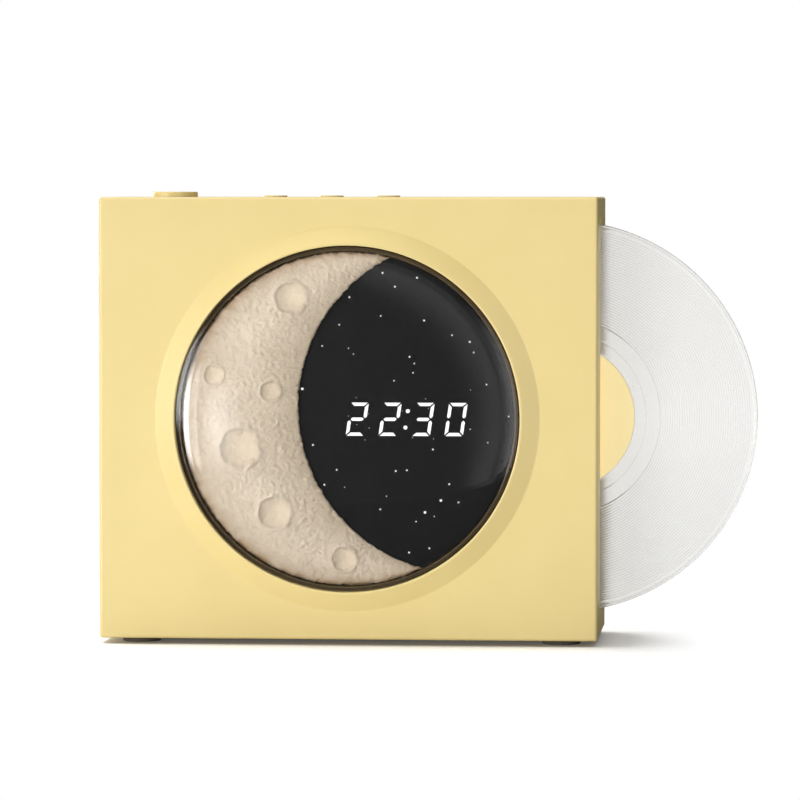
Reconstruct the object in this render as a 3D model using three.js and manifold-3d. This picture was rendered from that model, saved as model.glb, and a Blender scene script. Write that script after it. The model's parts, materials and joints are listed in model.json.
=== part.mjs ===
// A speaker clock: a box with a moon window, four push buttons and a record-shaped light plate.
// Millimetres, +Z up, the front faces -Y. The pieces are laid out in the frame of the case: x = 0 at the
// middle of the case, y = 0 on its front face and z = 0 under its bottom wall. "Rearwards" is +Y.

import * as THREE from 'three';
import { mergeVertices } from 'three/addons/utils/BufferGeometryUtils.js';
import Module from 'manifold-3d';

const wasm = await Module();
wasm.setup();

// Case
const CASE_WIDTH = 113;
const CASE_DEPTH = 40;
const CASE_HEIGHT = 100;
const WALL = 2.2;
const EDGE_FILLET = 1.2;
const CORNER_RADIUS = 1.6;
const RUNNING_GAP = 0.3;
// How far a cutting shape reaches past the surface it cuts
const PAST = 1;

// Window with its moulded cone, dark ring and domed lens, all about one axis in the front face
const AXIS_Z = CASE_HEIGHT / 2;
const CONE_FOOT_RADIUS = 44;
const CONE_TOP_RADIUS = 39.6;
const CONE_HEIGHT = 2.2;
const WINDOW_RADIUS = 39.1;
const BEZEL_RADIUS = 38.8;
const BEZEL_BORE = 37.9;
const BEZEL_FRONT = -0.6;
const BEZEL_FLANGE_RADIUS = 42;
const BEZEL_FLANGE = 2;
const LEDGE_BORE = 35.5;
const SKIRT_RADIUS = 39.5;
const SKIRT_WALL = 1.6;
const CLIP_NIB = 0.8;
const LENS_SHOULDER = -1.7;
const LENS_RISE = 2.8;
const LENS_THICKNESS = 1.1;
const LENS_STEPS = 5;
const DOME_FULLNESS = 2.4;
const DOME_ROUNDNESS = 0.8;

// Moon and sky
const PANEL_RADIUS = 37.6;
const PANEL_FRONT = 1.6;
const PANEL_THICKNESS = 1.2;
const MOON_RADIUS = 37.6;
const MOON_EDGE = 0.9;
const MOON_CROWN = 2.4;
const SHADOW_CENTRE = [26.4, 2.7];
const SHADOW_RADIUS = 37.6;
const MOON_ROUGHNESS = 0.12;
const CRATER_CREST = 0.22;
const CRATER_DEPTH_SHARE = 0.22;
const CRATERS = [
  [-12.8, 27.3, 3.5],
  [-30.2, 9.8, 2.2],
  [-17.4, 6.2, 2.2],
  [-24.4, -6.6, 4.4],
  [-16.5, -21.2, 3.6],
  [-0.7, -31.7, 2.7],
];

// Seven-segment display
const DISPLAY_X = 13.5;
const DIGIT_COUNT = 4;
const DIGIT_WIDTH = 4.5;
const DIGIT_HEIGHT = 7.62;
const DIGIT_PITCH = 7.45;
const DIGIT_SLANT = Math.tan(THREE.MathUtils.degToRad(8.3));
const SEGMENT_WIDTH = 0.89;
const SEGMENT_GAP = 0.13;
const COLON_RADIUS = 0.45;
const COLON_RISE = 1.85;
const DIFFUSER = { thickness: 0.4, halfWidth: 16.2, halfHeight: 5.6 };
const DISPLAY_MODULE = { halfWidth: 15.6, halfHeight: 5.2, wellDepth: 2 };
const DIGIT_WELL = { halfWidth: 2.9, halfHeight: 4.4 };
const COLON_WELL = { halfWidth: 0.5, halfHeight: COLON_RISE + 1 };

// Boards
const BOARD = 1.6;
const CLOCK_BOARD_FRONT = 6;
const CLOCK_BOARD_RADIUS = 40.9;
const MAIN_BOARD_FRONT = 11;
const MAIN_BOARD = { left: -49, right: 42, bottom: 25.2, top: 89 };
const MAIN_BOARD_POSTS = [[-46, 28], [-46, 86], [39.5, 28], [39.5, 86]];
const PART_SEAT = 0.5;
const LAMP = { count: 6, circle: 27, half: 1.4, height: 0.8 };
const CLOCK_CHIP = { left: -30, right: -20, half: 5, height: 1.2 };
const CONNECTOR = { left: -12, right: 6, bottom: 29, top: 33 };
// Radio can, two chips and three plug headers on the back of the main board: left, right, bottom, top, height
const MAIN_BOARD_PARTS = [
  [16, 34, 68, 84, 2.2],
  [12, 20, 50, 58, 1.3],
  [-4, 4, 72, 79, 1.3],
  [26, 34, 28, 33, 4.5],
  [14, 20, 28, 33, 4.5],
  [-40, -34, 82, 87, 4.5],
];
const CAPACITOR = { x: 30, z: 54, radius: 4, height: 7 };

// Rear cover and its posts
const COVER_FRONT = 37.2;
const COVER_THICKNESS = 2.5;
const COVER_POSTS = [[-50.5, 5.6], [-50.5, 94.4], [35.5, 5.6], [35.5, 94.4]];
const COVER_POST_RADIUS = 2.8;
const COVER_SINK_RADIUS = 3;
const COVER_SINK = 1.5;

// Loudspeaker, which faces the rear cover
const SPEAKER_X = -18;
const SPEAKER_Z = 54;
const SPEAKER_FLANGE = 50;
const SPEAKER_SCREW_OFFSET = 21;
const SPEAKER_FACE = 36.4;
const FLANGE_THICKNESS = 1.4;
const SOUND_HOLE_RADIUS = 22.5;
const CONE_TRAVEL_GAP = 0.4;
const YOKE_FRONT = 17;
const YOKE_RADIUS = 12.5;
const MAGNET_FRONT = 19;
const MAGNET_BORE = 7;
const MAGNET_RADIUS = 13;
const TOP_PLATE_FRONT = 23.5;
const TOP_PLATE_REAR = 25.5;
const POLE_RADIUS = 4.6;
const COIL_INSIDE = POLE_RADIUS + CONE_TRAVEL_GAP;
const COIL_OUTSIDE = COIL_INSIDE + 0.5;
const COIL_LENGTH = 7.5;
const CONE_NECK = 29;
const CONE_RIM = 34.4;
const CONE_RIM_RADIUS = 18.6;
const CONE_PAPER = 0.5;
const DUST_CAP_RADIUS = 7;
const BASKET_SHEET = 0.8;
const BASKET_BORE = 7;
const BASKET_FLOOR_RADIUS = 14.6;
const BASKET_MOUTH_RADIUS = 21.6;
const SURROUND_RADIUS = 22.5;
const GASKET_BORE = 22.9;
const GASKET_RADIUS = 24.6;
const GRILLE_RADIUS = 25.7;
const GRILLE_FRONT = 38.4;
const GRILLE_THICKNESS = 1.2;
const GRILLE_RINGS = 3;
const GRILLE_RING_STEP = 5.8;
const GRILLE_HOLE_RADIUS = 1.7;

// Push buttons on the top wall
const BUTTON_Y = 20;
const BUTTONS = [
  { name: 'main_button', x: -41.7, radius: 5.3, rise: 1.2 },
  { name: 'small_button_left', x: -18.5, radius: 2.85, rise: 0.35 },
  { name: 'small_button_middle', x: -5.5, radius: 2.85, rise: 0.35 },
  { name: 'small_button_right', x: 7.5, radius: 2.85, rise: 0.35 },
];
const BUTTON_LIP = 0.8;
const BUTTON_LIP_GAP = 0.1;
const BUTTON_EDGE = 0.35;
const KEY_BOARD = { left: -46, right: 17, front: 14, rear: 26, bottom: 90.4 };
const KEY_POSTS = [-30.5, 14.2];
const SWITCH_SIZE = 6;
const SWITCH_HEIGHT = 3.3;
const PLUNGER_RADIUS = 1.7;
const PLUNGER_RISE = 0.7;
const PLUNGER_LENGTH = 1.5;

// Record-shaped light plate in the slot of the right-hand wall
const DISC_RADIUS = 44.7;
const DISC_REACH = 35.7;
const DISC_X = CASE_WIDTH / 2 + DISC_REACH - DISC_RADIUS;
const DISC_FRONT = 15;
const DISC_THICKNESS = 2.6;
const DISC_INSERTION = 10;
const LABEL_RADIUS = 16.7;
const LABEL_THICKNESS = 0.4;
const LABEL_GAP = 0.1;
const HOLDER = { left: 43.2, right: 53.9, floor: 44.6, front: 12.4, rear: 20.2, bottom: 9, top: 91 };
const HOLDER_LEGS = [20, 74];
const HOLDER_LEG = { left: 44, right: 50.2, height: 6 };
const STRIP = { thickness: 0.8, lampCount: 9, lampHalf: 1.4, lampFront: 1.4, margin: 6 };

// Battery, charging socket and feet
const CELL_RADIUS = 9.2;
const CELL_LENGTH = 65;
const CELL_CENTRE = [-11.5, 26.5, 13];
const SOCKET = { x: 36, width: 8.94, height: 3.26, length: 7.5, rear: 38.9 };
const CHARGE_BOARD = { left: 29.5, right: 43, front: 26, rear: 36.8, bottom: 11, thickness: 1.2 };
const FOOT_RADIUS = 4.4;
const FOOT_HEIGHT = 1.3;
const FOOT_RECESS = 0.5;
const FOOT_X = 48;
const FOOT_FRONT_Y = 9;
const FOOT_REAR_Y = 31;

// Screws
const REAR_SCREW = { headRadius: 2.6, headHeight: 1.3, shankRadius: 1, length: 10, sides: 8 };
const BOARD_SCREW = { headRadius: 2.1, headHeight: 1.2, shankRadius: 0.75, length: 6, sides: 6 };
const SPEAKER_SCREW = { headRadius: 2.2, headHeight: 1.3, shankRadius: 0.9, length: 3.4, sides: 6 };

// Colours
const YELLOW = '#efd894';
const DARK = '#1d1a18';
const STEEL = '#b9bcc0';
const BOARD_GREEN = '#1f5a3c';
const WHITE = '#eeece6';

// Sides of the round pieces
const WINDOW_SIDES = 40;
const ROUND_SIDES = 16;
const LABEL_SIDES = 48;
const SPEAKER_SIDES = 16;
const GRILLE_SIDES = 28;
const MOON_SIDES = 28;
const CRATER_SIDES = 12;
const POST_SIDES = 8;

// Solids

// One closed mesh: shared corners, no empty triangles, faces turned outwards
function closed(geometry) {
  geometry.deleteAttribute('normal');
  geometry.deleteAttribute('uv');
  const mesh = mergeVertices(geometry);
  const corners = mesh.index.array;
  const kept = [];
  let volume = 0;
  const a = new THREE.Vector3();
  const b = new THREE.Vector3();
  const c = new THREE.Vector3();
  for (let i = 0; i < corners.length; i += 3) {
    const [p, q, r] = corners.slice(i, i + 3);
    if (p === q || q === r || r === p) continue;
    kept.push(p, q, r);
    a.fromBufferAttribute(mesh.attributes.position, p);
    b.fromBufferAttribute(mesh.attributes.position, q);
    c.fromBufferAttribute(mesh.attributes.position, r);
    volume += a.dot(b.cross(c));
  }
  mesh.setIndex(volume < 0 ? kept.reverse() : kept);
  return mesh;
}

function toSolid(geometry) {
  const mesh = closed(geometry);
  const vertProperties = Float32Array.from(mesh.attributes.position.array);
  const triVerts = Uint32Array.from(mesh.index.array);
  return new wasm.Manifold(new wasm.Mesh({ numProp: 3, vertProperties, triVerts }));
}

function toGeometry(solid) {
  const mesh = solid.getMesh();
  const geometry = new THREE.BufferGeometry();
  geometry.setAttribute('position', new THREE.BufferAttribute(Float32Array.from(mesh.vertProperties), 3));
  geometry.setIndex(Array.from(mesh.triVerts));
  return geometry;
}

function join(base, pieces) {
  return toGeometry(pieces.reduce((solid, piece) => solid.add(toSolid(piece)), toSolid(base)));
}

function cut(base, tools) {
  return toGeometry(tools.reduce((solid, tool) => solid.subtract(toSolid(tool)), toSolid(base)));
}

function common(base, other) {
  return toGeometry(toSolid(base).intersect(toSolid(other)));
}

function block(x0, x1, y0, y1, z0, z1) {
  const box = new THREE.BoxGeometry(x1 - x0, y1 - y0, z1 - z0);
  return box.translate((x0 + x1) / 2, (y0 + y1) / 2, (z0 + z1) / 2);
}

function rodY(x, z, y0, y1, radius, sides = POST_SIDES) {
  return new THREE.CylinderGeometry(radius, radius, y1 - y0, sides).translate(x, (y0 + y1) / 2, z);
}

function rodZ(x, y, z0, z1, radius, sides = ROUND_SIDES) {
  const rod = new THREE.CylinderGeometry(radius, radius, z1 - z0, sides).rotateX(Math.PI / 2);
  return rod.translate(x, y, (z0 + z1) / 2);
}

// A revolved piece: the profile lists [radius, height along the axis] and closes on itself or on the axis
function turnedY(profile, sides) {
  const points = profile.map(([radius, y]) => new THREE.Vector2(radius, y));
  if (points[0].x > 0) points.push(points[0].clone());
  return new THREE.LatheGeometry(points, sides);
}

function turnedZ(profile, sides) {
  return turnedY(profile, sides).rotateX(Math.PI / 2);
}

// An outline drawn in x and z as seen from the front, between two depths
function plate(shape, y0, y1, curveSegments = 3) {
  const slab = new THREE.ExtrudeGeometry(shape, { depth: y1 - y0, bevelEnabled: false, curveSegments });
  return slab.rotateX(Math.PI / 2).translate(0, y1, 0);
}

function roundedRectangle(width, height, radius) {
  const x = width / 2 - radius;
  const y = height / 2 - radius;
  const shape = new THREE.Shape();
  shape.absarc(x, -y, radius, -Math.PI / 2, 0);
  shape.absarc(x, y, radius, 0, Math.PI / 2);
  shape.absarc(-x, y, radius, Math.PI / 2, Math.PI);
  shape.absarc(-x, -y, radius, Math.PI, Math.PI * 1.5);
  return shape;
}

function polygon(points) {
  return new THREE.Shape(points.map(([x, y]) => new THREE.Vector2(x, y)));
}

// Front shell: five walls with rounded edges, the cone round the window, posts, ribs and cut-outs

function shellBlank() {
  const outline = roundedRectangle(CASE_WIDTH, CASE_HEIGHT, CORNER_RADIUS);
  const blank = new THREE.ExtrudeGeometry(outline, {
    depth: CASE_DEPTH - 2 * EDGE_FILLET,
    bevelThickness: EDGE_FILLET,
    bevelSize: EDGE_FILLET,
    bevelOffset: -EDGE_FILLET,
    bevelSegments: 3,
    curveSegments: 2,
  });
  return blank.rotateX(Math.PI / 2).translate(0, CASE_DEPTH - EDGE_FILLET, CASE_HEIGHT / 2);
}

function windowCone() {
  const core = WINDOW_RADIUS - WALL;
  const edge = 0.15;
  const profile = [
    [core, WALL / 2],
    [CONE_FOOT_RADIUS, WALL / 2],
    [CONE_FOOT_RADIUS, 0],
    [CONE_TOP_RADIUS, edge - CONE_HEIGHT],
    [CONE_TOP_RADIUS - edge, -CONE_HEIGHT],
    [core, -CONE_HEIGHT],
  ];
  return turnedY(profile, WINDOW_SIDES).translate(0, 0, AXIS_Z);
}

function coverPost([x, z]) {
  const rib = 0.6;
  const root = WALL / 2;
  const wallZ = z < AXIS_Z ? root : CASE_HEIGHT - root;
  const ribTop = COVER_FRONT - 2;
  const pieces = [
    rodY(x, z, root, COVER_FRONT, COVER_POST_RADIUS),
    block(x - rib, x + rib, root, ribTop, Math.min(z, wallZ), Math.max(z, wallZ)),
  ];
  if (x < 0) {
    pieces.push(block(root - CASE_WIDTH / 2, x, root, ribTop, z - rib, z + rib));
  }
  return pieces;
}

function chargeBoardRibs() {
  const { left, right, front, rear, bottom } = CHARGE_BOARD;
  const ribWidth = 1.4;
  const inset = 0.5;
  return [left + inset, right - inset - ribWidth].map((x) => (
    block(x, x + ribWidth, front + ribWidth, rear, WALL / 2, bottom)
  ));
}

function frontShell() {
  const pilotRadius = 1.25;
  const boardPilotRadius = 0.95;
  const postRadius = 2.5;
  const keyPostRadius = 2;
  const pilotDepth = 10;
  const inner = CASE_WIDTH / 2 - WALL;
  const keyBoardTop = KEY_BOARD.bottom + BOARD;
  const keyPostTop = CASE_HEIGHT - WALL / 2;
  const hollow = block(-inner, inner, WALL, CASE_DEPTH + PAST, WALL, CASE_HEIGHT - WALL);
  const added = [
    windowCone(),
    ...COVER_POSTS.flatMap(coverPost),
    ...MAIN_BOARD_POSTS.map(([x, z]) => rodY(x, z, WALL / 2, MAIN_BOARD_FRONT, postRadius)),
    ...KEY_POSTS.map((x) => rodZ(x, BUTTON_Y, keyBoardTop, keyPostTop, keyPostRadius, POST_SIDES)),
    ...chargeBoardRibs(),
  ];
  const slotReach = DISC_RADIUS + RUNNING_GAP;
  const slot = block(
    inner - PAST, CASE_WIDTH / 2 + PAST,
    DISC_FRONT - RUNNING_GAP, DISC_FRONT + DISC_THICKNESS + RUNNING_GAP,
    AXIS_Z - slotReach, AXIS_Z + slotReach,
  );
  const removed = [
    rodY(0, AXIS_Z, -CONE_HEIGHT - PAST, WALL + PAST, WINDOW_RADIUS, WINDOW_SIDES),
    slot,
    ...BUTTONS.map(({ x, radius }) => (
      rodZ(x, BUTTON_Y, CASE_HEIGHT - WALL - PAST, CASE_HEIGHT + PAST, radius + RUNNING_GAP)
    )),
    ...feet().map(({ x, y }) => rodZ(x, y, -PAST, FOOT_RECESS, FOOT_RADIUS + RUNNING_GAP)),
    ...COVER_POSTS.map(([x, z]) => rodY(x, z, COVER_FRONT - pilotDepth, COVER_FRONT + PAST, pilotRadius)),
    ...MAIN_BOARD_POSTS.map(([x, z]) => rodY(x, z, 2 * WALL, MAIN_BOARD_FRONT + PAST, boardPilotRadius)),
  ];
  return cut(join(cut(shellBlank(), [hollow]), added), removed);
}

// Rear cover with the sound hole, the grille's rebate, the socket's cut-out and sunk screw holes

function socketOutline(margin) {
  const width = SOCKET.width + 2 * margin;
  const height = SOCKET.height + 2 * margin;
  return roundedRectangle(width, height, height / 2 - 0.01);
}

function socketZ() {
  return CHARGE_BOARD.bottom + CHARGE_BOARD.thickness + SOCKET.height / 2;
}

function speakerScrewPoints() {
  const points = [];
  for (const z of [SPEAKER_Z - SPEAKER_SCREW_OFFSET, SPEAKER_Z + SPEAKER_SCREW_OFFSET]) {
    points.push([SPEAKER_X - SPEAKER_SCREW_OFFSET, z], [SPEAKER_X + SPEAKER_SCREW_OFFSET, z]);
  }
  return points;
}

function rearCover() {
  const fit = 2 * (WALL + RUNNING_GAP);
  const rear = COVER_FRONT + COVER_THICKNESS;
  const cornerRadius = 1;
  const outline = roundedRectangle(CASE_WIDTH - fit, CASE_HEIGHT - fit, cornerRadius);
  const panel = plate(outline, COVER_FRONT, rear).translate(0, 0, CASE_HEIGHT / 2);
  const bossRadius = 2.6;
  const bossPilot = 1.15;
  const pilotEnd = rear - 0.8;
  const screwHole = 1.5;
  const bosses = speakerScrewPoints().map(([x, z]) => rodY(x, z, SPEAKER_FACE, pilotEnd, bossRadius));
  const socketCut = plate(socketOutline(RUNNING_GAP), COVER_FRONT - PAST, rear + PAST);
  const sinkFloor = rear - COVER_SINK;
  const removed = [
    rodY(SPEAKER_X, SPEAKER_Z, COVER_FRONT - PAST, rear + PAST, SOUND_HOLE_RADIUS, GRILLE_SIDES),
    rodY(SPEAKER_X, SPEAKER_Z, GRILLE_FRONT, rear + PAST, GRILLE_RADIUS + RUNNING_GAP, GRILLE_SIDES),
    socketCut.translate(SOCKET.x, 0, socketZ()),
    ...speakerScrewPoints().map(([x, z]) => rodY(x, z, SPEAKER_FACE - PAST, pilotEnd, bossPilot)),
    ...COVER_POSTS.map(([x, z]) => rodY(x, z, COVER_FRONT - PAST, rear + PAST, screwHole)),
    ...COVER_POSTS.map(([x, z]) => rodY(x, z, sinkFloor, rear + PAST, COVER_SINK_RADIUS, ROUND_SIDES)),
  ];
  return cut(join(panel, bosses), removed);
}

// Round perforated grille: holes on concentric rings, six more on each ring than on the last
function speakerGrille() {
  const holeSides = 6;
  const ringStart = 6;
  const rear = GRILLE_FRONT + GRILLE_THICKNESS;
  const disc = rodY(0, 0, GRILLE_FRONT, rear, GRILLE_RADIUS, GRILLE_SIDES);
  const holes = [];
  for (let ring = 0; ring <= GRILLE_RINGS; ring += 1) {
    const count = Math.max(1, ringStart * ring);
    for (let i = 0; i < count; i += 1) {
      const angle = (2 * Math.PI * i) / count;
      const x = ring * GRILLE_RING_STEP * Math.cos(angle);
      const z = ring * GRILLE_RING_STEP * Math.sin(angle);
      holes.push(rodY(x, z, GRILLE_FRONT - PAST, rear + PAST, GRILLE_HOLE_RADIUS, holeSides));
    }
  }
  return cut(disc, holes).translate(SPEAKER_X, 0, SPEAKER_Z);
}

// Window: dark ring with a flange behind the front wall, a ledge for the panel and clips for the board

function boardClip(angle) {
  const halfWidth = 3;
  const stemInside = CLOCK_BOARD_RADIUS + RUNNING_GAP;
  const nibInside = CLOCK_BOARD_RADIUS - CLIP_NIB;
  const nibFront = CLOCK_BOARD_FRONT + BOARD + RUNNING_GAP;
  const rear = nibFront + CLIP_NIB;
  const stem = block(stemInside, BEZEL_FLANGE_RADIUS, WALL + BEZEL_FLANGE / 2, rear, -halfWidth, halfWidth);
  const nib = block(nibInside, stemInside + RUNNING_GAP, nibFront, rear, -halfWidth, halfWidth);
  return [stem, nib].map((piece) => piece.rotateY(angle));
}

function windowBezel() {
  const flangeRear = WALL + BEZEL_FLANGE;
  const panelRear = PANEL_FRONT + PANEL_THICKNESS;
  const skirtBore = SKIRT_RADIUS - SKIRT_WALL;
  const profile = [
    [BEZEL_BORE, BEZEL_FRONT],
    [BEZEL_RADIUS, BEZEL_FRONT],
    [BEZEL_RADIUS, WALL],
    [BEZEL_FLANGE_RADIUS, WALL],
    [BEZEL_FLANGE_RADIUS, flangeRear],
    [SKIRT_RADIUS, flangeRear],
    [SKIRT_RADIUS, CLOCK_BOARD_FRONT],
    [skirtBore, CLOCK_BOARD_FRONT],
    [skirtBore, flangeRear],
    [LEDGE_BORE, flangeRear],
    [LEDGE_BORE, panelRear],
    [BEZEL_BORE, panelRear],
  ];
  const clips = [0, 1, 2, 3].flatMap((i) => boardClip(Math.PI / 4 + (i * Math.PI) / 2));
  return join(turnedY(profile, WINDOW_SIDES), clips).translate(0, 0, AXIS_Z);
}

// The lens is a shallow dome that falls away faster towards its rim
function domeProfile(radius, shoulder, rise, steps) {
  const points = [];
  for (let i = 0; i <= steps; i += 1) {
    const share = Math.sin((i / steps) * (Math.PI / 2));
    const fall = Math.pow(1 - Math.pow(share, DOME_FULLNESS), DOME_ROUNDNESS);
    points.push([radius * share, shoulder - rise * fall]);
  }
  return points;
}

function lensDome() {
  const outside = domeProfile(BEZEL_RADIUS, LENS_SHOULDER, LENS_RISE, LENS_STEPS);
  const inside = domeProfile(BEZEL_RADIUS - LENS_THICKNESS, BEZEL_FRONT, LENS_RISE, LENS_STEPS - 1).reverse();
  const profile = [...outside, [BEZEL_RADIUS, BEZEL_FRONT], ...inside];
  return turnedY(profile, WINDOW_SIDES).translate(0, 0, AXIS_Z);
}

// Moon: a crescent cut from a low dome, with rimmed craters

function moonSurface(radius) {
  const share = Math.min(1, radius / MOON_RADIUS);
  return PANEL_FRONT - MOON_EDGE - (MOON_CROWN - MOON_EDGE) * Math.sqrt(1 - share * share);
}

function moonDome() {
  const shares = [1, 0.97, 0.88, 0.7, 0.4, 0];
  const skirt = MOON_RADIUS + PAST;
  const surface = shares.map((share) => [share * MOON_RADIUS, moonSurface(share * MOON_RADIUS)]);
  const profile = [[0, PANEL_FRONT], [skirt, PANEL_FRONT], [skirt, PANEL_FRONT - MOON_EDGE], ...surface];
  return turnedY(profile, MOON_SIDES);
}

function ragged(angle) {
  return MOON_ROUGHNESS * (Math.sin(23 * angle) + 0.7 * Math.sin(41 * angle + 1));
}

// The crescent lies between the moon's round edge and the round shadow that takes the rest of it
function crescent() {
  const outerSteps = 36;
  const innerSteps = 24;
  const [shadowX, shadowZ] = SHADOW_CENTRE;
  const distance = Math.hypot(shadowX, shadowZ);
  const towards = Math.atan2(shadowZ, shadowX);
  const alongMoon = (distance ** 2 + MOON_RADIUS ** 2 - SHADOW_RADIUS ** 2) / (2 * distance);
  const moonHalf = Math.acos(alongMoon / MOON_RADIUS);
  const shadowHalf = Math.acos((distance - alongMoon) / SHADOW_RADIUS);
  const points = [];
  for (let i = 0; i < outerSteps; i += 1) {
    const angle = towards + moonHalf + ((2 * Math.PI - 2 * moonHalf) * i) / outerSteps;
    const radius = MOON_RADIUS - MOON_ROUGHNESS + 0.5 * ragged(angle);
    points.push([radius * Math.cos(angle), radius * Math.sin(angle)]);
  }
  for (let i = 0; i < innerSteps; i += 1) {
    const angle = towards + Math.PI + shadowHalf - (2 * shadowHalf * i) / innerSteps;
    const radius = SHADOW_RADIUS + ragged(angle);
    points.push([shadowX + radius * Math.cos(angle), shadowZ + radius * Math.sin(angle)]);
  }
  return plate(polygon(points), PANEL_FRONT - MOON_CROWN - PAST, PANEL_FRONT + PAST);
}

function craterRim([x, z, radius]) {
  const surface = moonSurface(Math.hypot(x, z));
  const crest = surface - CRATER_CREST;
  const root = surface + 2 * CRATER_CREST;
  const skirt = radius * 1.45;
  const profile = [
    [0, root],
    [skirt, root],
    [skirt, surface + CRATER_CREST],
    [radius * 1.12, crest],
    [0, crest],
  ];
  return turnedY(profile, CRATER_SIDES).translate(x, 0, z);
}

function craterBowl([x, z, radius]) {
  const surface = moonSurface(Math.hypot(x, z));
  const depth = CRATER_DEPTH_SHARE * radius;
  const profile = [
    [0, surface + depth],
    [radius * 0.5, surface + depth * 0.85],
    [radius * 0.85, surface + depth * 0.3],
    [radius, surface - 1.4 * CRATER_CREST],
    [0, surface - PAST],
  ];
  return turnedY(profile, CRATER_SIDES).translate(x, 0, z);
}

function moonRelief() {
  const blank = common(moonDome(), crescent());
  const rimmed = join(blank, CRATERS.map(craterRim));
  return cut(rimmed, CRATERS.map(craterBowl)).translate(0, 0, AXIS_Z);
}

// Display: the outlines of the seven segments of one digit, from its lower left corner, before the slant
function segmentOutlines() {
  const w = DIGIT_WIDTH;
  const h = DIGIT_HEIGHT;
  const t = SEGMENT_WIDTH;
  const g = SEGMENT_GAP;
  const middle = h / 2;
  const flat = [[g, h], [w - g, h], [w - t - g, h - t], [t + g, h - t]];
  const upright = [
    [w, h - g],
    [w - t, h - t - g],
    [w - t, middle + t / 2 + g],
    [w - t / 2, middle + g],
    [w, middle + t / 2 + g],
  ];
  const bar = [
    [t / 2 + g, middle],
    [t + g, middle + t / 2],
    [w - t - g, middle + t / 2],
    [w - t / 2 - g, middle],
    [w - t - g, middle - t / 2],
    [t + g, middle - t / 2],
  ];
  const sideways = (points) => points.map(([x, z]) => [w - x, z]);
  const upsideDown = (points) => points.map(([x, z]) => [x, h - z]);
  const leftUpright = sideways(upright);
  return [flat, upsideDown(flat), bar, upright, leftUpright, upsideDown(upright), upsideDown(leftUpright)];
}

function slanted([x, z], left) {
  const height = z - DIGIT_HEIGHT / 2;
  return [left + x + height * DIGIT_SLANT, AXIS_Z + height];
}

function segmentWindows(y0, y1) {
  const span = (DIGIT_COUNT - 1) * DIGIT_PITCH + DIGIT_WIDTH;
  const windows = [];
  for (let digit = 0; digit < DIGIT_COUNT; digit += 1) {
    const left = DISPLAY_X - span / 2 + digit * DIGIT_PITCH;
    for (const outline of segmentOutlines()) {
      windows.push(plate(polygon(outline.map((point) => slanted(point, left))), y0, y1));
    }
  }
  for (const side of [-1, 1]) {
    const x = DISPLAY_X + side * COLON_RISE * DIGIT_SLANT;
    windows.push(rodY(x, AXIS_Z + side * COLON_RISE, y0, y1, COLON_RADIUS));
  }
  return windows;
}

function skyPanel() {
  const rear = PANEL_FRONT + PANEL_THICKNESS;
  const disc = rodY(0, AXIS_Z, PANEL_FRONT, rear, PANEL_RADIUS, WINDOW_SIDES);
  return cut(disc, segmentWindows(PANEL_FRONT - PAST, rear + PAST));
}

// A box centred behind the digits
function displayBlock(x, halfWidth, halfHeight, y0, y1) {
  return block(x - halfWidth, x + halfWidth, y0, y1, AXIS_Z - halfHeight, AXIS_Z + halfHeight);
}

function displayDiffuser() {
  const front = PANEL_FRONT + PANEL_THICKNESS;
  return displayBlock(DISPLAY_X, DIFFUSER.halfWidth, DIFFUSER.halfHeight, front, front + DIFFUSER.thickness);
}

// The module has one light well behind each digit and one behind the colon
function displayModule() {
  const { halfWidth, halfHeight, wellDepth } = DISPLAY_MODULE;
  const front = PANEL_FRONT + PANEL_THICKNESS + DIFFUSER.thickness;
  const module = displayBlock(DISPLAY_X, halfWidth, halfHeight, front, CLOCK_BOARD_FRONT);
  const well = (x, size) => displayBlock(x, size.halfWidth, size.halfHeight, front - PAST, front + wellDepth);
  const wells = [well(DISPLAY_X, COLON_WELL)];
  for (let digit = 0; digit < DIGIT_COUNT; digit += 1) {
    wells.push(well(DISPLAY_X + (digit - (DIGIT_COUNT - 1) / 2) * DIGIT_PITCH, DIGIT_WELL));
  }
  return cut(module, wells);
}

// Clock board with the moon's lamps on its front and a chip on its back
function clockBoard() {
  const front = CLOCK_BOARD_FRONT;
  const rear = front + BOARD;
  const firstAngle = Math.PI * 0.62;
  const sweep = Math.PI * 0.76;
  const { left, right, half, height } = CLOCK_CHIP;
  const board = rodY(0, AXIS_Z, front, rear, CLOCK_BOARD_RADIUS, WINDOW_SIDES / 2);
  const parts = [block(left, right, rear - PART_SEAT, rear + height, AXIS_Z - half, AXIS_Z + half)];
  for (let i = 0; i < LAMP.count; i += 1) {
    const angle = firstAngle + (sweep * i) / (LAMP.count - 1);
    const x = LAMP.circle * Math.cos(angle);
    const z = AXIS_Z + LAMP.circle * Math.sin(angle);
    const [x0, x1] = [x - LAMP.half, x + LAMP.half];
    parts.push(block(x0, x1, front - LAMP.height, front + PART_SEAT, z - LAMP.half, z + LAMP.half));
  }
  return join(board, parts);
}

function boardConnector() {
  const { left, right, bottom, top } = CONNECTOR;
  return block(left, right, CLOCK_BOARD_FRONT + BOARD, MAIN_BOARD_FRONT, bottom, top);
}

// Main board with its parts on the back
function mainBoard() {
  const { left, right, bottom, top } = MAIN_BOARD;
  const rear = MAIN_BOARD_FRONT + BOARD;
  const seat = rear - PART_SEAT;
  const holeRadius = 1.4;
  const board = block(left, right, MAIN_BOARD_FRONT, rear, bottom, top);
  const { x: capX, z: capZ, radius, height: capHeight } = CAPACITOR;
  const parts = [
    rodY(capX, capZ, seat, rear + capHeight, radius, ROUND_SIDES),
    ...MAIN_BOARD_PARTS.map(([x0, x1, z0, z1, height]) => block(x0, x1, seat, rear + height, z0, z1)),
  ];
  const holes = MAIN_BOARD_POSTS.map(([x, z]) => (
    rodY(x, z, MAIN_BOARD_FRONT - PAST, rear + PAST, holeRadius)
  ));
  return cut(join(board, parts), holes);
}

// Loudspeaker pieces, turned about the speaker's axis

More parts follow.
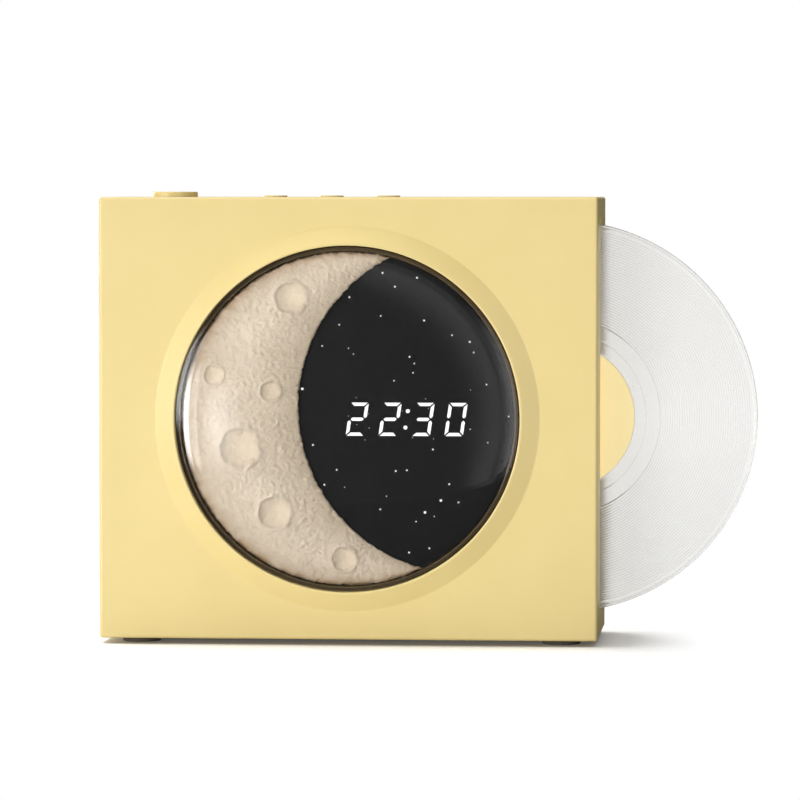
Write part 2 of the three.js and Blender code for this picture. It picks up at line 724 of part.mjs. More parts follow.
function onSpeakerAxis(profile) {
  return turnedY(profile, SPEAKER_SIDES).translate(SPEAKER_X, 0, SPEAKER_Z);
}

function speakerBasket() {
  const flangeFront = SPEAKER_FACE - FLANGE_THICKNESS;
  const floor = TOP_PLATE_REAR;
  const wallFoot = floor + 3;
  const neck = BASKET_FLOOR_RADIUS + 0.4;
  const mouthBore = BASKET_MOUTH_RADIUS - BASKET_SHEET;
  const openingRadius = BASKET_MOUTH_RADIUS - BASKET_SHEET / 2;
  const cornerRadius = 4.5;
  const screwHole = 1.35;
  const pan = onSpeakerAxis([
    [BASKET_BORE, floor],
    [BASKET_FLOOR_RADIUS, floor],
    [neck, wallFoot],
    [BASKET_MOUTH_RADIUS, flangeFront],
    [BASKET_MOUTH_RADIUS, SPEAKER_FACE],
    [mouthBore, SPEAKER_FACE],
    [mouthBore, flangeFront],
    [neck - BASKET_SHEET, wallFoot + BASKET_SHEET / 2],
    [BASKET_FLOOR_RADIUS - BASKET_SHEET, floor + BASKET_SHEET],
    [BASKET_BORE, floor + BASKET_SHEET],
  ]);
  const outline = roundedRectangle(SPEAKER_FLANGE, SPEAKER_FLANGE, cornerRadius);
  const flange = plate(outline, flangeFront, SPEAKER_FACE, 2).translate(SPEAKER_X, 0, SPEAKER_Z);
  const [front, rear] = [flangeFront - PAST, SPEAKER_FACE + PAST];
  const opening = rodY(SPEAKER_X, SPEAKER_Z, front, rear, openingRadius, SPEAKER_SIDES);
  const holes = speakerScrewPoints().map(([x, z]) => rodY(x, z, front, rear, screwHole));
  return join(cut(flange, [opening, ...holes]), [pan]);
}

function speakerYoke() {
  return onSpeakerAxis([
    [0, YOKE_FRONT],
    [YOKE_RADIUS, YOKE_FRONT],
    [YOKE_RADIUS, MAGNET_FRONT],
    [POLE_RADIUS, MAGNET_FRONT],
    [POLE_RADIUS, TOP_PLATE_REAR],
    [0, TOP_PLATE_REAR],
  ]);
}

function speakerRing(bore, radius, front, rear) {
  return onSpeakerAxis([[bore, front], [radius, front], [radius, rear], [bore, rear]]);
}

function speakerMagnet() {
  return speakerRing(MAGNET_BORE, MAGNET_RADIUS, MAGNET_FRONT, TOP_PLATE_FRONT);
}

function speakerVoiceCoil() {
  return speakerRing(COIL_INSIDE, COIL_OUTSIDE, CONE_NECK - COIL_LENGTH, CONE_NECK);
}

function speakerGasket() {
  return speakerRing(GASKET_BORE, GASKET_RADIUS, SPEAKER_FACE, COVER_FRONT);
}

function speakerTopPlate() {
  return speakerRing(COIL_OUTSIDE + CONE_TRAVEL_GAP, YOKE_RADIUS, TOP_PLATE_FRONT, TOP_PLATE_REAR);
}

// Corrugated centring disc on the floor of the basket
function speakerSpider() {
  const sheet = 0.35;
  const floor = TOP_PLATE_REAR + BASKET_SHEET;
  const wave = [[13.6, 0], [11.4, 0.7], [8.8, 0.1], [COIL_OUTSIDE + CONE_TRAVEL_GAP, 0.6]];
  const under = wave.map(([radius, rise]) => [radius, floor + rise]);
  const over = wave.map(([radius, rise]) => [radius, floor + rise + sheet]).reverse();
  return onSpeakerAxis([...under, ...over]);
}

function speakerCone() {
  return onSpeakerAxis([
    [COIL_INSIDE, CONE_NECK],
    [CONE_RIM_RADIUS, CONE_RIM],
    [CONE_RIM_RADIUS, CONE_RIM + CONE_PAPER],
    [COIL_INSIDE, CONE_NECK + CONE_PAPER],
  ]);
}

function speakerDustCap() {
  const radius = DUST_CAP_RADIUS;
  const slope = (CONE_RIM - CONE_NECK) / (CONE_RIM_RADIUS - COIL_INSIDE);
  const seat = CONE_NECK + CONE_PAPER + (radius - COIL_INSIDE) * slope;
  return onSpeakerAxis([
    [0, seat + 2.1],
    [radius * 0.4, seat + 1.8],
    [radius * 0.7, seat + 1.1],
    [radius - 0.5, seat],
    [radius, seat],
    [radius * 0.75, seat + 1.5],
    [radius * 0.4, seat + 2.3],
    [0, seat + 2.6],
  ]);
}

// Half-round rubber roll between the cone and the flange
function speakerSurround() {
  const inside = CONE_RIM_RADIUS + CONE_TRAVEL_GAP;
  return onSpeakerAxis([
    [inside, SPEAKER_FACE - 1.1],
    [inside + 0.4, SPEAKER_FACE - 1.1],
    [inside + 0.7, SPEAKER_FACE - 0.4],
    [inside + 1.4, SPEAKER_FACE + 0.06],
    [SURROUND_RADIUS, SPEAKER_FACE],
    [SURROUND_RADIUS, SPEAKER_FACE + 0.4],
    [inside + 1.5, SPEAKER_FACE + 0.5],
    [inside + 0.4, SPEAKER_FACE - 0.1],
  ]);
}

// Key board, switches and buttons along the top wall

function keyBoard() {
  const { left, right, front, rear, bottom } = KEY_BOARD;
  return block(left, right, front, rear, bottom, bottom + BOARD);
}

function switchBody({ x }) {
  const half = SWITCH_SIZE / 2;
  const floor = KEY_BOARD.bottom + BOARD;
  const top = floor + SWITCH_HEIGHT;
  const body = block(x - half, x + half, BUTTON_Y - half, BUTTON_Y + half, floor, top);
  const boreFloor = floor + SWITCH_HEIGHT / 2;
  const bore = rodZ(x, BUTTON_Y, boreFloor, top + PAST, PLUNGER_RADIUS + RUNNING_GAP, POST_SIDES);
  return cut(body, [bore]);
}

function plungerTop() {
  return KEY_BOARD.bottom + BOARD + SWITCH_HEIGHT + PLUNGER_RISE;
}

function switchPlunger({ x }) {
  const top = plungerTop();
  return rodZ(x, BUTTON_Y, top - PLUNGER_LENGTH, top, PLUNGER_RADIUS, POST_SIDES);
}

// A button: short stem on the plunger, a lip that stops under the wall, and the cap in its hole
function button({ x, radius, rise }) {
  const stem = 1.5;
  const lipTop = CASE_HEIGHT - WALL - BUTTON_LIP_GAP;
  const lipBottom = lipTop - BUTTON_LIP;
  const top = CASE_HEIGHT + rise;
  const profile = [
    [0, plungerTop()],
    [stem, plungerTop()],
    [stem, lipBottom],
    [radius + BUTTON_LIP, lipBottom],
    [radius + BUTTON_LIP, lipTop],
    [radius, lipTop],
    [radius, top - BUTTON_EDGE],
    [radius - BUTTON_EDGE, top],
    [0, top],
  ];
  return turnedZ(profile, ROUND_SIDES).translate(x, BUTTON_Y, 0);
}

// Record-shaped plate: a disc cut off straight where it plugs in, with round recesses for the labels

function discShape(radius) {
  const edge = CASE_WIDTH / 2 - DISC_INSERTION - DISC_X;
  const half = Math.acos(edge / radius);
  const shape = new THREE.Shape();
  shape.absarc(0, 0, radius, -half, half);
  return shape;
}

function recordDisc() {
  const rear = DISC_FRONT + DISC_THICKNESS;
  const recessRadius = LABEL_RADIUS + LABEL_GAP;
  const disc = plate(discShape(DISC_RADIUS), DISC_FRONT, rear, 24);
  const recesses = [
    rodY(0, 0, DISC_FRONT - PAST, DISC_FRONT + LABEL_THICKNESS, recessRadius, LABEL_SIDES),
    rodY(0, 0, rear - LABEL_THICKNESS, rear + PAST, recessRadius, LABEL_SIDES),
  ];
  return cut(disc, recesses).translate(DISC_X, 0, AXIS_Z);
}

function discLabel(front) {
  return plate(discShape(LABEL_RADIUS), front, front + LABEL_THICKNESS, 12).translate(DISC_X, 0, AXIS_Z);
}

// Holder: a channel for the plate's straight edge, on two legs that stand on the front wall
function discHolder() {
  const { left, right, floor, front, rear, bottom, top } = HOLDER;
  const slotFront = DISC_FRONT - RUNNING_GAP;
  const slotRear = DISC_FRONT + DISC_THICKNESS + RUNNING_GAP;
  const legs = HOLDER_LEGS.map((z) => (
    block(HOLDER_LEG.left, HOLDER_LEG.right, WALL, (front + DISC_FRONT) / 2, z, z + HOLDER_LEG.height)
  ));
  const channel = join(block(left, right, front, rear, bottom, top), legs);
  return cut(channel, [block(floor, right + PAST, slotFront, slotRear, bottom - PAST, top + PAST)]);
}

// Lamp strip on the floor of the channel
function discLedStrip() {
  const { thickness, lampCount, lampHalf, lampFront, margin } = STRIP;
  const { floor, bottom, top } = HOLDER;
  const inset = 0.3;
  const front = DISC_FRONT;
  const rear = front + DISC_THICKNESS;
  const strip = block(floor, floor + thickness, front, rear, bottom + margin / 3, top - margin / 3);
  const pitch = (top - bottom - 2 * margin) / (lampCount - 1);
  const lamps = [];
  for (let i = 0; i < lampCount; i += 1) {
    const z = bottom + margin + i * pitch;
    const [z0, z1] = [z - lampHalf, z + lampHalf];
    lamps.push(block(floor + thickness / 2, floor + lampFront, front + inset, rear - inset, z0, z1));
  }
  return join(strip, lamps);
}

// Battery cell lying in an open cradle on the bottom wall

function batteryCell() {
  const [x, y, z] = CELL_CENTRE;
  const half = CELL_LENGTH / 2;
  const cap = 3.2;
  const edge = 0.7;
  const canEnd = half - 1;
  const profile = [
    [0, -half],
    [CELL_RADIUS - edge, -half],
    [CELL_RADIUS, edge - half],
    [CELL_RADIUS, canEnd - edge],
    [CELL_RADIUS - edge, canEnd],
    [cap, canEnd],
    [cap, half],
    [0, half],
  ];
  return turnedY(profile, ROUND_SIDES).rotateZ(-Math.PI / 2).translate(x, y, z);
}

function batteryHolder() {
  const [x, y, z] = CELL_CENTRE;
  const endWall = 1.6;
  const halfLength = CELL_LENGTH / 2 + RUNNING_GAP;
  const halfDepth = CELL_RADIUS + 2 * RUNNING_GAP;
  const endRise = 2;
  const left = x - halfLength - endWall;
  const right = x + halfLength + endWall;
  const cradle = block(left, right, y - halfDepth, y + halfDepth, WALL, z + endRise);
  const bore = CELL_RADIUS + RUNNING_GAP;
  const trough = new THREE.CylinderGeometry(bore, bore, 2 * halfLength, ROUND_SIDES);
  trough.rotateZ(Math.PI / 2).translate(x, y, z);
  const mouthHalf = halfDepth + PAST;
  const [mouthLeft, mouthRight] = [x - halfLength, x + halfLength];
  const mouth = block(mouthLeft, mouthRight, y - mouthHalf, y + mouthHalf, z - endRise, z + endRise + PAST);
  return cut(cradle, [trough, mouth]);
}

// Charging socket with its tongue, on a small board behind the rear cover

function chargeBoard() {
  const { left, right, front, rear, bottom, thickness } = CHARGE_BOARD;
  return block(left, right, front, rear, bottom, bottom + thickness);
}

function usbSocket() {
  const shell = 0.35;
  const base = 1.2;
  const front = SOCKET.rear - SOCKET.length;
  const floor = front + base;
  const tube = cut(
    plate(socketOutline(0), front, SOCKET.rear),
    [plate(socketOutline(-shell), floor, SOCKET.rear + PAST)],
  );
  const tongueHalf = 3.3;
  const tongue = block(-tongueHalf, tongueHalf, floor - base / 2, SOCKET.rear - base, -shell, shell);
  return join(tube, [tongue]).translate(SOCKET.x, 0, socketZ());
}

// Rubber feet let into the bottom wall

function feet() {
  const places = [];
  for (const [depth, y] of [['front', FOOT_FRONT_Y], ['rear', FOOT_REAR_Y]]) {
    for (const [side, x] of [['left', -FOOT_X], ['right', FOOT_X]]) {
      places.push({ name: `foot_${depth}_${side}`, x, y });
    }
  }
  return places;
}

function foot({ x, y }) {
  const edge = 0.4;
  const profile = [
    [0, -FOOT_HEIGHT],
    [FOOT_RADIUS - edge, -FOOT_HEIGHT],
    [FOOT_RADIUS, edge - FOOT_HEIGHT],
    [FOOT_RADIUS, FOOT_RECESS],
    [0, FOOT_RECESS],
  ];
  return turnedZ(profile, ROUND_SIDES).translate(x, y, 0);
}

// Screws: the head lies on y = 0 and points rearwards, the shank runs forwards
function screw({ headRadius, headHeight, shankRadius, length, sides }) {
  const tip = 0.8;
  const profile = [
    [0, -length],
    [shankRadius, tip - length],
    [shankRadius, 0],
    [headRadius, 0],
    [headRadius, headHeight / 2],
    [headRadius * 0.6, headHeight],
    [0, headHeight],
  ];
  return turnedY(profile, sides);
}

// The screws seen from outside have a cross recess
function rearScrew([x, z]) {
  const slotHalf = 0.3;
  const { headRadius, headHeight } = REAR_SCREW;
  const reach = headRadius * 0.6;
  const [bottom, top] = [headHeight / 2, headHeight + PAST];
  const slots = [
    block(-reach, reach, bottom, top, -slotHalf, slotHalf),
    block(-slotHalf, slotHalf, bottom, top, -reach, reach),
  ];
  const seat = COVER_FRONT + COVER_THICKNESS - COVER_SINK;
  return cut(screw(REAR_SCREW), slots).translate(x, seat, z);
}

function boardScrew([x, z]) {
  return screw(BOARD_SCREW).translate(x, MAIN_BOARD_FRONT + BOARD, z);
}

function speakerScrew([x, z]) {
  return screw(SPEAKER_SCREW).rotateX(Math.PI).translate(x, SPEAKER_FACE - FLANGE_THICKNESS, z);
}

// The assembly

// Origin of the finished part: the middle of its footprint on the table
const LENS_CROWN = LENS_SHOULDER - LENS_RISE;
const clock = new THREE.Group();
clock.position.set(-DISC_REACH / 2, -(CASE_DEPTH + LENS_CROWN) / 2, FOOT_HEIGHT);

function piece(name, geometry, color, roughness = 0.5, metalness = 0) {
  const material = new THREE.MeshStandardMaterial({ color, roughness, metalness });
  const mesh = new THREE.Mesh(closed(geometry), material);
  mesh.name = name;
  clock.add(mesh);
}

piece('front_shell', frontShell(), YELLOW, 0.45);
piece('rear_cover', rearCover(), YELLOW, 0.5);
piece('speaker_grille', speakerGrille(), YELLOW, 0.5);
COVER_POSTS.forEach((place, i) => piece(`rear_screw_${i + 1}`, rearScrew(place), STEEL, 0.35, 1));
feet().forEach((place) => piece(place.name, foot(place), DARK, 0.9));

piece('window_bezel', windowBezel(), DARK, 0.2);
piece('lens_dome', lensDome(), '#f4f8fa', 0.05);
piece('moon_relief', moonRelief(), '#dccdb8', 0.9);
piece('sky_panel', skyPanel(), '#202022', 0.3);
piece('display_diffuser', displayDiffuser(), '#ffffff', 0.6);
piece('display_module', displayModule(), DARK, 0.6);
piece('clock_board', clockBoard(), BOARD_GREEN, 0.6);
piece('board_connector', boardConnector(), DARK, 0.6);

piece('main_board', mainBoard(), BOARD_GREEN, 0.6);
MAIN_BOARD_POSTS.forEach((place, i) => piece(`board_screw_${i + 1}`, boardScrew(place), STEEL, 0.35, 1));

piece('speaker_basket', speakerBasket(), '#3a3c40', 0.5, 0.8);
piece('speaker_yoke', speakerYoke(), STEEL, 0.4, 1);
piece('speaker_magnet', speakerMagnet(), '#2b2b2d', 0.7, 0.3);
piece('speaker_top_plate', speakerTopPlate(), STEEL, 0.4, 1);
piece('speaker_voice_coil', speakerVoiceCoil(), '#b3743a', 0.4, 0.8);
piece('speaker_spider', speakerSpider(), '#c8a04a', 0.9);
piece('speaker_cone', speakerCone(), '#26262a', 0.8);
piece('speaker_dust_cap', speakerDustCap(), '#1c1c1f', 0.5);
piece('speaker_surround', speakerSurround(), '#18181a', 0.7);
piece('speaker_gasket', speakerGasket(), '#303033', 0.95);
speakerScrewPoints().forEach((place, i) => {
  piece(`speaker_screw_${i + 1}`, speakerScrew(place), STEEL, 0.35, 1);
});

piece('key_board', keyBoard(), BOARD_GREEN, 0.6);
BUTTONS.forEach((place, i) => {
  piece(`switch_body_${i + 1}`, switchBody(place), '#2a2a2c', 0.6);
  piece(`switch_plunger_${i + 1}`, switchPlunger(place), DARK, 0.5);
  piece(place.name, button(place), YELLOW, 0.45);
});

piece('record_disc', recordDisc(), '#e9e8e4', 0.25);
piece('disc_label_front', discLabel(DISC_FRONT), YELLOW, 0.5);
piece('disc_label_rear', discLabel(DISC_FRONT + DISC_THICKNESS - LABEL_THICKNESS), YELLOW, 0.5);
piece('disc_holder', discHolder(), WHITE, 0.6);
piece('disc_led_strip', discLedStrip(), WHITE, 0.5);

piece('battery_cell', batteryCell(), '#3f78b5', 0.4);
piece('battery_holder', batteryHolder(), DARK, 0.7);
piece('charge_board', chargeBoard(), BOARD_GREEN, 0.6);
piece('usb_c_socket', usbSocket(), STEEL, 0.3, 1);

export default clock;
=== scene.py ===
import json
import math
import random

import bmesh
import bpy
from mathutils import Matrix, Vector, noise


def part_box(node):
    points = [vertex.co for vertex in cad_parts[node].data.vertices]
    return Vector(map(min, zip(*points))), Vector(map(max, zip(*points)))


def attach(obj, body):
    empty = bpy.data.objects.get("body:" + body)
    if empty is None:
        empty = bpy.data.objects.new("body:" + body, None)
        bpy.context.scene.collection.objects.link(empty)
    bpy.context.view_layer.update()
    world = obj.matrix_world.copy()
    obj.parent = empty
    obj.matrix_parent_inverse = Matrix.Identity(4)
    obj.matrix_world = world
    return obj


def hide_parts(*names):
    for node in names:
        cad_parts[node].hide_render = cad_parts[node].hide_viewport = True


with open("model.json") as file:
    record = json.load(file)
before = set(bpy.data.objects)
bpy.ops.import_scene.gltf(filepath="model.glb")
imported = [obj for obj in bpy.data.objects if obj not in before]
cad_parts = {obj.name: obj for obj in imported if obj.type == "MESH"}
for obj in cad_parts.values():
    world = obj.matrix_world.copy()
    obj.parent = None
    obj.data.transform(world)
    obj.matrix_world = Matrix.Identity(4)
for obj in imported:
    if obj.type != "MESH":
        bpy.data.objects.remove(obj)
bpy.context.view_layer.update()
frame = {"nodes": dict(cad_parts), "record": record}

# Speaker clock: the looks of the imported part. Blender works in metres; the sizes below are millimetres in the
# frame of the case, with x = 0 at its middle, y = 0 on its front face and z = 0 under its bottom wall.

MM = 0.001
ROOT = "case"

# Case
CASE_WIDTH = 113.0
CASE_DEPTH = 40.0
CASE_HEIGHT = 100.0
CASE_MIDDLE = CASE_HEIGHT / 2
WALL = 2.2
FILLET = 0.7
CORNER = 0.6
CORNER_LEAST = 0.15
GAP = 0.3
# Cutters overlap the face they leave by a hair and go on well past it
OVERLAP = 0.02
PAST = 1.0

# Window: cone, dark ring, lens, panel
WINDOW_RADIUS = 39.1
CONE_TOP = 39.6
CONE_FOOT = 43.5
CONE_HEIGHT = 2.2
BEZEL_RADIUS = 38.8
BEZEL_BORE = 37.9
BEZEL_FRONT = -0.6
BEZEL_REAR = 4.2
BEZEL_FLANGE = 42.0
BEZEL_SEAT = 2.8
BEZEL_SEAT_BORE = 35.5
LENS_SHOULDER = -1.7
LENS_RISE = 2.8
LENS_THICKNESS = 1.1
# Exponents of the dome's profile, and its steps
LENS_FLATTEN = 2.4
LENS_ROUND = 0.8
LENS_STEPS = 40
PANEL_RADIUS = 37.6
PANEL_FRONT = 1.6
PANEL_THICKNESS = 1.2

# Moon: a round edge and the round shadow that takes the rest; heights above the panel
MOON_RADIUS = 37.85
MOON_EDGE = 0.9
MOON_CROWN = 2.4
MOON_LEAST = 0.2
MOON_INSET = 0.2
MOON_THINNING = 0.5
MOON_THIN_UNTIL = 0.8
MOON_ROWS = 800
MOON_COLUMNS = 170
SHADOW_CENTRE = (26.4, 2.7)
SHADOW_RADIUS = 37.6
# Layers of noise in the plaster and its edges: size of the features, seed, height
PLASTER = [(4.5, 1, 0.14), (1.9, 2, 0.13)]
GRIT = [(0.95, 7, 0.16), (0.5, 9, 0.07)]
GRIT_PATCHES = [(7.0, 12, 0.7)]
GRIT_INSIDE = 1.5
GRIT_FALL = 0.9
RAGGED_OUTSIDE = [(1.5, 3, 0.28), (0.5, 4, 0.22)]
RAGGED_INSIDE = [(1.3, 5, 0.22), (0.45, 6, 0.18)]
# Rounding of the two edges: width, and the share of the height that is left at the edge
OUTER_EDGE = (1.6, 0.35)
INNER_EDGE = (0.5, 0.7)
# Colour: brown along the outer edge, painted shade along the inner one, pale bowls
BROWN_PATCHES = [(2.5, 8, 0.4)]
BROWN_LEVEL = 0.9
BROWN_REACH = 2.0
PAINTED_SHADE_REACH = 0.65
PAINTED_SHADE_CURVE = 1.6
BOWL_PALENESS = 0.3
# Craters: x, z and radius from the window's centre; depth, and place and width of the rim, in radii
CRATERS = [
    (-12.8, 27.3, 3.5),
    (-30.2, 9.8, 2.2),
    (-17.4, 6.2, 2.2),
    (-24.4, -6.6, 4.4),
    (-16.5, -21.2, 3.6),
    (-0.7, -31.7, 2.7),
]
CRATER_DEPTH = 0.36
CRATER_RIM = 1.08
CRATER_RIM_WIDTH = 0.14
CRATER_RIM_HEIGHT = 0.26
CRATER_RAGGED = 0.09
CRATER_RAGGED_SIZE = 1.6

# Stars by radius, with their places from the window's centre
STARS = {
    0.29: [(-10.3, 6.7), (21.1, -18.4), (17.5, -21.1)],
    0.2: [
        (27.6, 17.4), (-2.5, -11.6), (10.9, -11.8), (13.4, -11.6), (7.9, 32.9), (15.7, 31.8), (10.7, 29.8),
        (0.4, 27.4), (17.3, 22.2), (14.0, 14.0), (-7.9, -6.0), (19.3, -6.9), (-5.3, -15.0), (23.0, -14.7),
        (25.1, -18.8), (7.4, -20.5), (18.5, -29.2), (13.9, -30.2),
    ],
    0.155: [
        (15.1, 12.5), (14.8, 10.4), (10.5, 8.6), (7.5, 23.2), (-1.9, 21.2), (23.6, 18.9), (28.5, 15.0),
        (-5.8, 16.4), (31.4, 7.8), (36.4, 0.6), (15.5, -23.2),
    ],
    0.11: [(0.2, 15.9), (1.3, 14.6), (31.7, -5.3), (-0.7, -15.5), (8.8, -17.5), (19.6, -22.0), (27.7, -2.3)],
}
DUST_COUNT = 14
DUST_SEED = 11
DUST_X = (-14, 15)
DUST_Z = (-5, 7)
DUST_RADIUS = 0.07
STAR_PROUD = 0.04
DUST_PROUD = 0.03
INLAY_DEPTH = 0.1
INLAY_TOP = 0.97

# Seven-segment display
DISPLAY_X = 13.34
DISPLAY_Z = CASE_MIDDLE - 0.12
DIGIT_WIDTH = 4.2
DIGIT_HEIGHT = 7.5
DIGIT_PITCH = 7.45
DIGIT_SLANT = math.tan(math.radians(8.3))
SEGMENT_WIDTH = 0.74
SEGMENT_GAP = 0.25
COLON_RADIUS = 0.45
COLON_RISE = 1.85
DIGIT_PROUD = 0.05
SHOWN_TIME = ("abged", "abged", "abgcd", "abcdef")

# Buttons: node, body, x, radius, rise
BUTTON_Y = 20.0
BUTTON_HOLE_FLOOR = CASE_HEIGHT - 5
BUTTON_STEM = 1.5
BUTTON_LIP = 0.8
BUTTON_DISH = 0.12
PLUNGER_TOP = 96.0
LIP_BOTTOM = 96.9
LIP_TOP = 97.7
BUTTONS = [
    ("main_button", "main_push", -41.7, 5.3, 1.2),
    ("small_button_left", "left_push", -18.5, 2.85, 0.35),
    ("small_button_middle", "middle_push", -5.5, 2.85, 0.35),
    ("small_button_right", "right_push", 7.5, 2.85, 0.35),
]

# Record plate
DISC_RADIUS = 44.7
DISC_X = CASE_WIDTH / 2 + 35.7 - DISC_RADIUS
DISC_FRONT = 15.0
DISC_THICKNESS = 2.6
DISC_EDGE_X = CASE_WIDTH / 2 - 10
LABEL_RADIUS = 16.7
LABEL_THICKNESS = 0.4
# Wider grooves as radius and depth; the second bounds the playing grooves
INNER_RING = (19.4, 0.03)
DEAD_WAX = (22.65, 0.1)
RING_HALF = 0.16
RING_LAND = 0.24
GROOVE_END = 43.3
GROOVE_PITCH = 0.55
GROOVE_DEPTH = 0.035

# Back
COVER_FRONT = 37.2
COVER_REAR = 39.7
COVER_POSTS = [(-50.5, 5.6), (-50.5, 94.4), (35.5, 5.6), (35.5, 94.4)]
SINK_FLOOR = 38.2
SINK_RADIUS = 3.0
SPEAKER = (-18.0, 54.0)
SOUND_HOLE = 22.5
GRILLE_RADIUS = 25.7
GRILLE_FRONT = 38.4
GRILLE_REAR = 39.6
GRILLE_RINGS = 3
GRILLE_STEP = 5.8
GRILLE_HOLE = 1.7
SOCKET_PLACE = (36.0, 13.83)
SOCKET_HALF = (4.47, 1.63)
SOCKET_FRONT = 31.4
SOCKET_REAR = 38.9
TONGUE_HALF = (3.3, 0.33)
CONTACT_HALF = (0.12, 0.03)
CONTACT_RISE = 0.36
CONTACT_PITCH = 0.5
CONTACT_COUNT = 12

# Feet
FOOT_RADIUS = 4.4
FOOT_HEIGHT = 1.3
FOOT_RECESS = 0.5
FEET = {
    "foot_front_left": (-48.0, 9.0),
    "foot_front_right": (48.0, 9.0),
    "foot_rear_left": (-48.0, 31.0),
    "foot_rear_right": (48.0, 31.0),
}

# Camera fitted to the photograph: place in the frame of the case, angles in degrees, focal length in pixels
CAMERA_PLACE = (104.9, -1092.9, 102.1)
CAMERA_YAW = 4.86
CAMERA_PITCH = -2.495
CAMERA_FOCAL = 4871.0
IMAGE_SIZE = 800
SENSOR = 36.0

# Studio: radiance of the room, and what the left and the ceiling add to it
STUDIO = 0.2
STUDIO_LEFT = 0.05
STUDIO_ABOVE = 0.1
# A bent light panel in front, up to the right: its axis as angles left and up, the angles from the axis
# over which it fades in and out again, and its radiance
ARC_AXIS = (5.0, -2.0)
ARC_EDGES = ((10.0, 19.0), (23.5, 21.5))
ARC_LIGHT = 0.75
# Floor: size, glow of its own for the camera and in glass, share in gloss, reach of the painted shadow round
# what stands on it, and the distances from the middle and past the case's right-hand side over which it fades
FLOOR_RADIUS = 215.0
FLOOR_GLOW = 0.24
FLOOR_GLOW_IN_GLASS = 0.6
FLOOR_SHEEN = 0.05
FLOOR_SHADE = 6.0
FLOOR_FADE = (110.0, 200.0)
SIDE_FADE = (6.0, 24.0)
SIDE_DIM = (-10.0, 15.0)
# Colours of the floor: in the open, and as painted shadow in corners and under what stands on it, as the camera
# sees it, and as it lights the object
FLOOR_PALE = (0.95, 0.95, 0.95)
FLOOR_PAINTED_SHADOW = (0.66, 0.56, 0.4)
FLOOR_BOUNCE = (0.8, 0.8, 0.8)
FLOOR_BOUNCE_DIM = (0.35, 0.35, 0.35)
FLOOR_IN_GLOSS = (0.1, 0.1, 0.1)
# Bounces after which a ray that came through the record plate no longer sees the white floor or backdrop;
# the world counts one more than a surface
FLOOR_BOUNCES = 2.5
BACKDROP_BOUNCES = 3.5
# Lamps: angles left and up from the window, distance, width, height, power, share of the face that fades
LAMPS = [
    ("key", 42, 5, 3.2, 1.2, 1.2, 86.0, 0.5),
    ("strip", 29.5, -2.6, 2.0, 0.165, 0.63, 17.0, 0.8),
    ("left_rim", 74, 4, 1.6, 0.7, 0.9, 4.2, 0.6),
    ("glow", 21.5, -3.5, 1.2, 0.24, 0.3, 1.3, 1.0),
    ("right_card", -36, 0, 1.2, 0.8, 1.1, 9.5, 0.6),
    ("rear", 140, 12, 1.8, 1.0, 0.8, 36.0, 0.5),
]
# Skylight: angles left and up, spread, power
SKYLIGHT = (98, 77, 18, 1.6)

SHELL_LOW, SHELL_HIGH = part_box("front_shell")
SHIFT = Vector((
    (SHELL_LOW.x + SHELL_HIGH.x) / 2 / MM,
    SHELL_HIGH.y / MM - CASE_DEPTH,
    SHELL_LOW.z / MM,
))


def placed(x, y, z):
    return (Vector((x, y, z)) + SHIFT) * MM


# Mesh building

def turned(profile, sides, axis, centre):
    """Turn (radius, height) pairs round an axis. A profile that starts off the axis closes on itself."""
    vertices, rings = [], []
    cx, cy, cz = centre
    for radius, height in profile:
        start = len(vertices)
        count = sides if radius > 1e-6 else 1
        for i in range(count):
            a = radius * math.cos(2 * math.pi * i / sides)
            b = radius * math.sin(2 * math.pi * i / sides)
            vertices.append((cx + a, cy + height, cz + b) if axis == "Y" else (cx + a, cy + b, cz + height))
        rings.append(list(range(start, start + count)))
    pairs = list(zip(rings, rings[1:]))
    if len(rings[0]) > 1:
        pairs.append((rings[-1], rings[0]))
    faces = []
    for low, high in pairs:
        for i in range(sides):
            j = (i + 1) % sides
            corners = [low[i % len(low)], low[j % len(low)], high[j % len(high)], high[i % len(high)]]
            corners = list(dict.fromkeys(corners))
            if len(corners) > 2:
                faces.append(corners)
    return vertices, faces


def lofted(loops, closed=False):
    """Join equal closed loops by quads, with flat ends unless the last loop joins the first."""
    count = len(loops[0])
    vertices = [point for loop in loops for point in loop]
    faces = []
    rows = len(loops)
    for row in range(rows if closed else rows - 1):
        low, high = row * count, ((row + 1) % rows) * count
        for i in range(count):
            j = (i + 1) % count
            faces.append([low + i, low + j, high + j, high + i])
    if not closed:
        faces.append(list(range(count))[::-1])
        faces.append(list(range((rows - 1) * count, rows * count)))
    return vertices, faces


def softened(points, radius, steps=4, closed=False):
    """Round the corners of a profile; an open profile keeps its two ends."""
    rounded = []
    count = len(points)
    for i, corner in enumerate(points):
        if not closed and i in (0, count - 1):
            rounded.append(corner)
            continue
        here = Vector(corner)
        ends = []
        for other in (points[i - 1], points[(i + 1) % count]):
            reach = Vector(other) - here
            ends.append(here + reach * min(0.45, radius / max(reach.length, 1e-6)))
        for k in range(steps + 1):
            t = k / steps
            rounded.append(tuple(ends[0] * (1 - t) ** 2 + here * (2 * t * (1 - t)) + ends[1] * t ** 2))
    return rounded


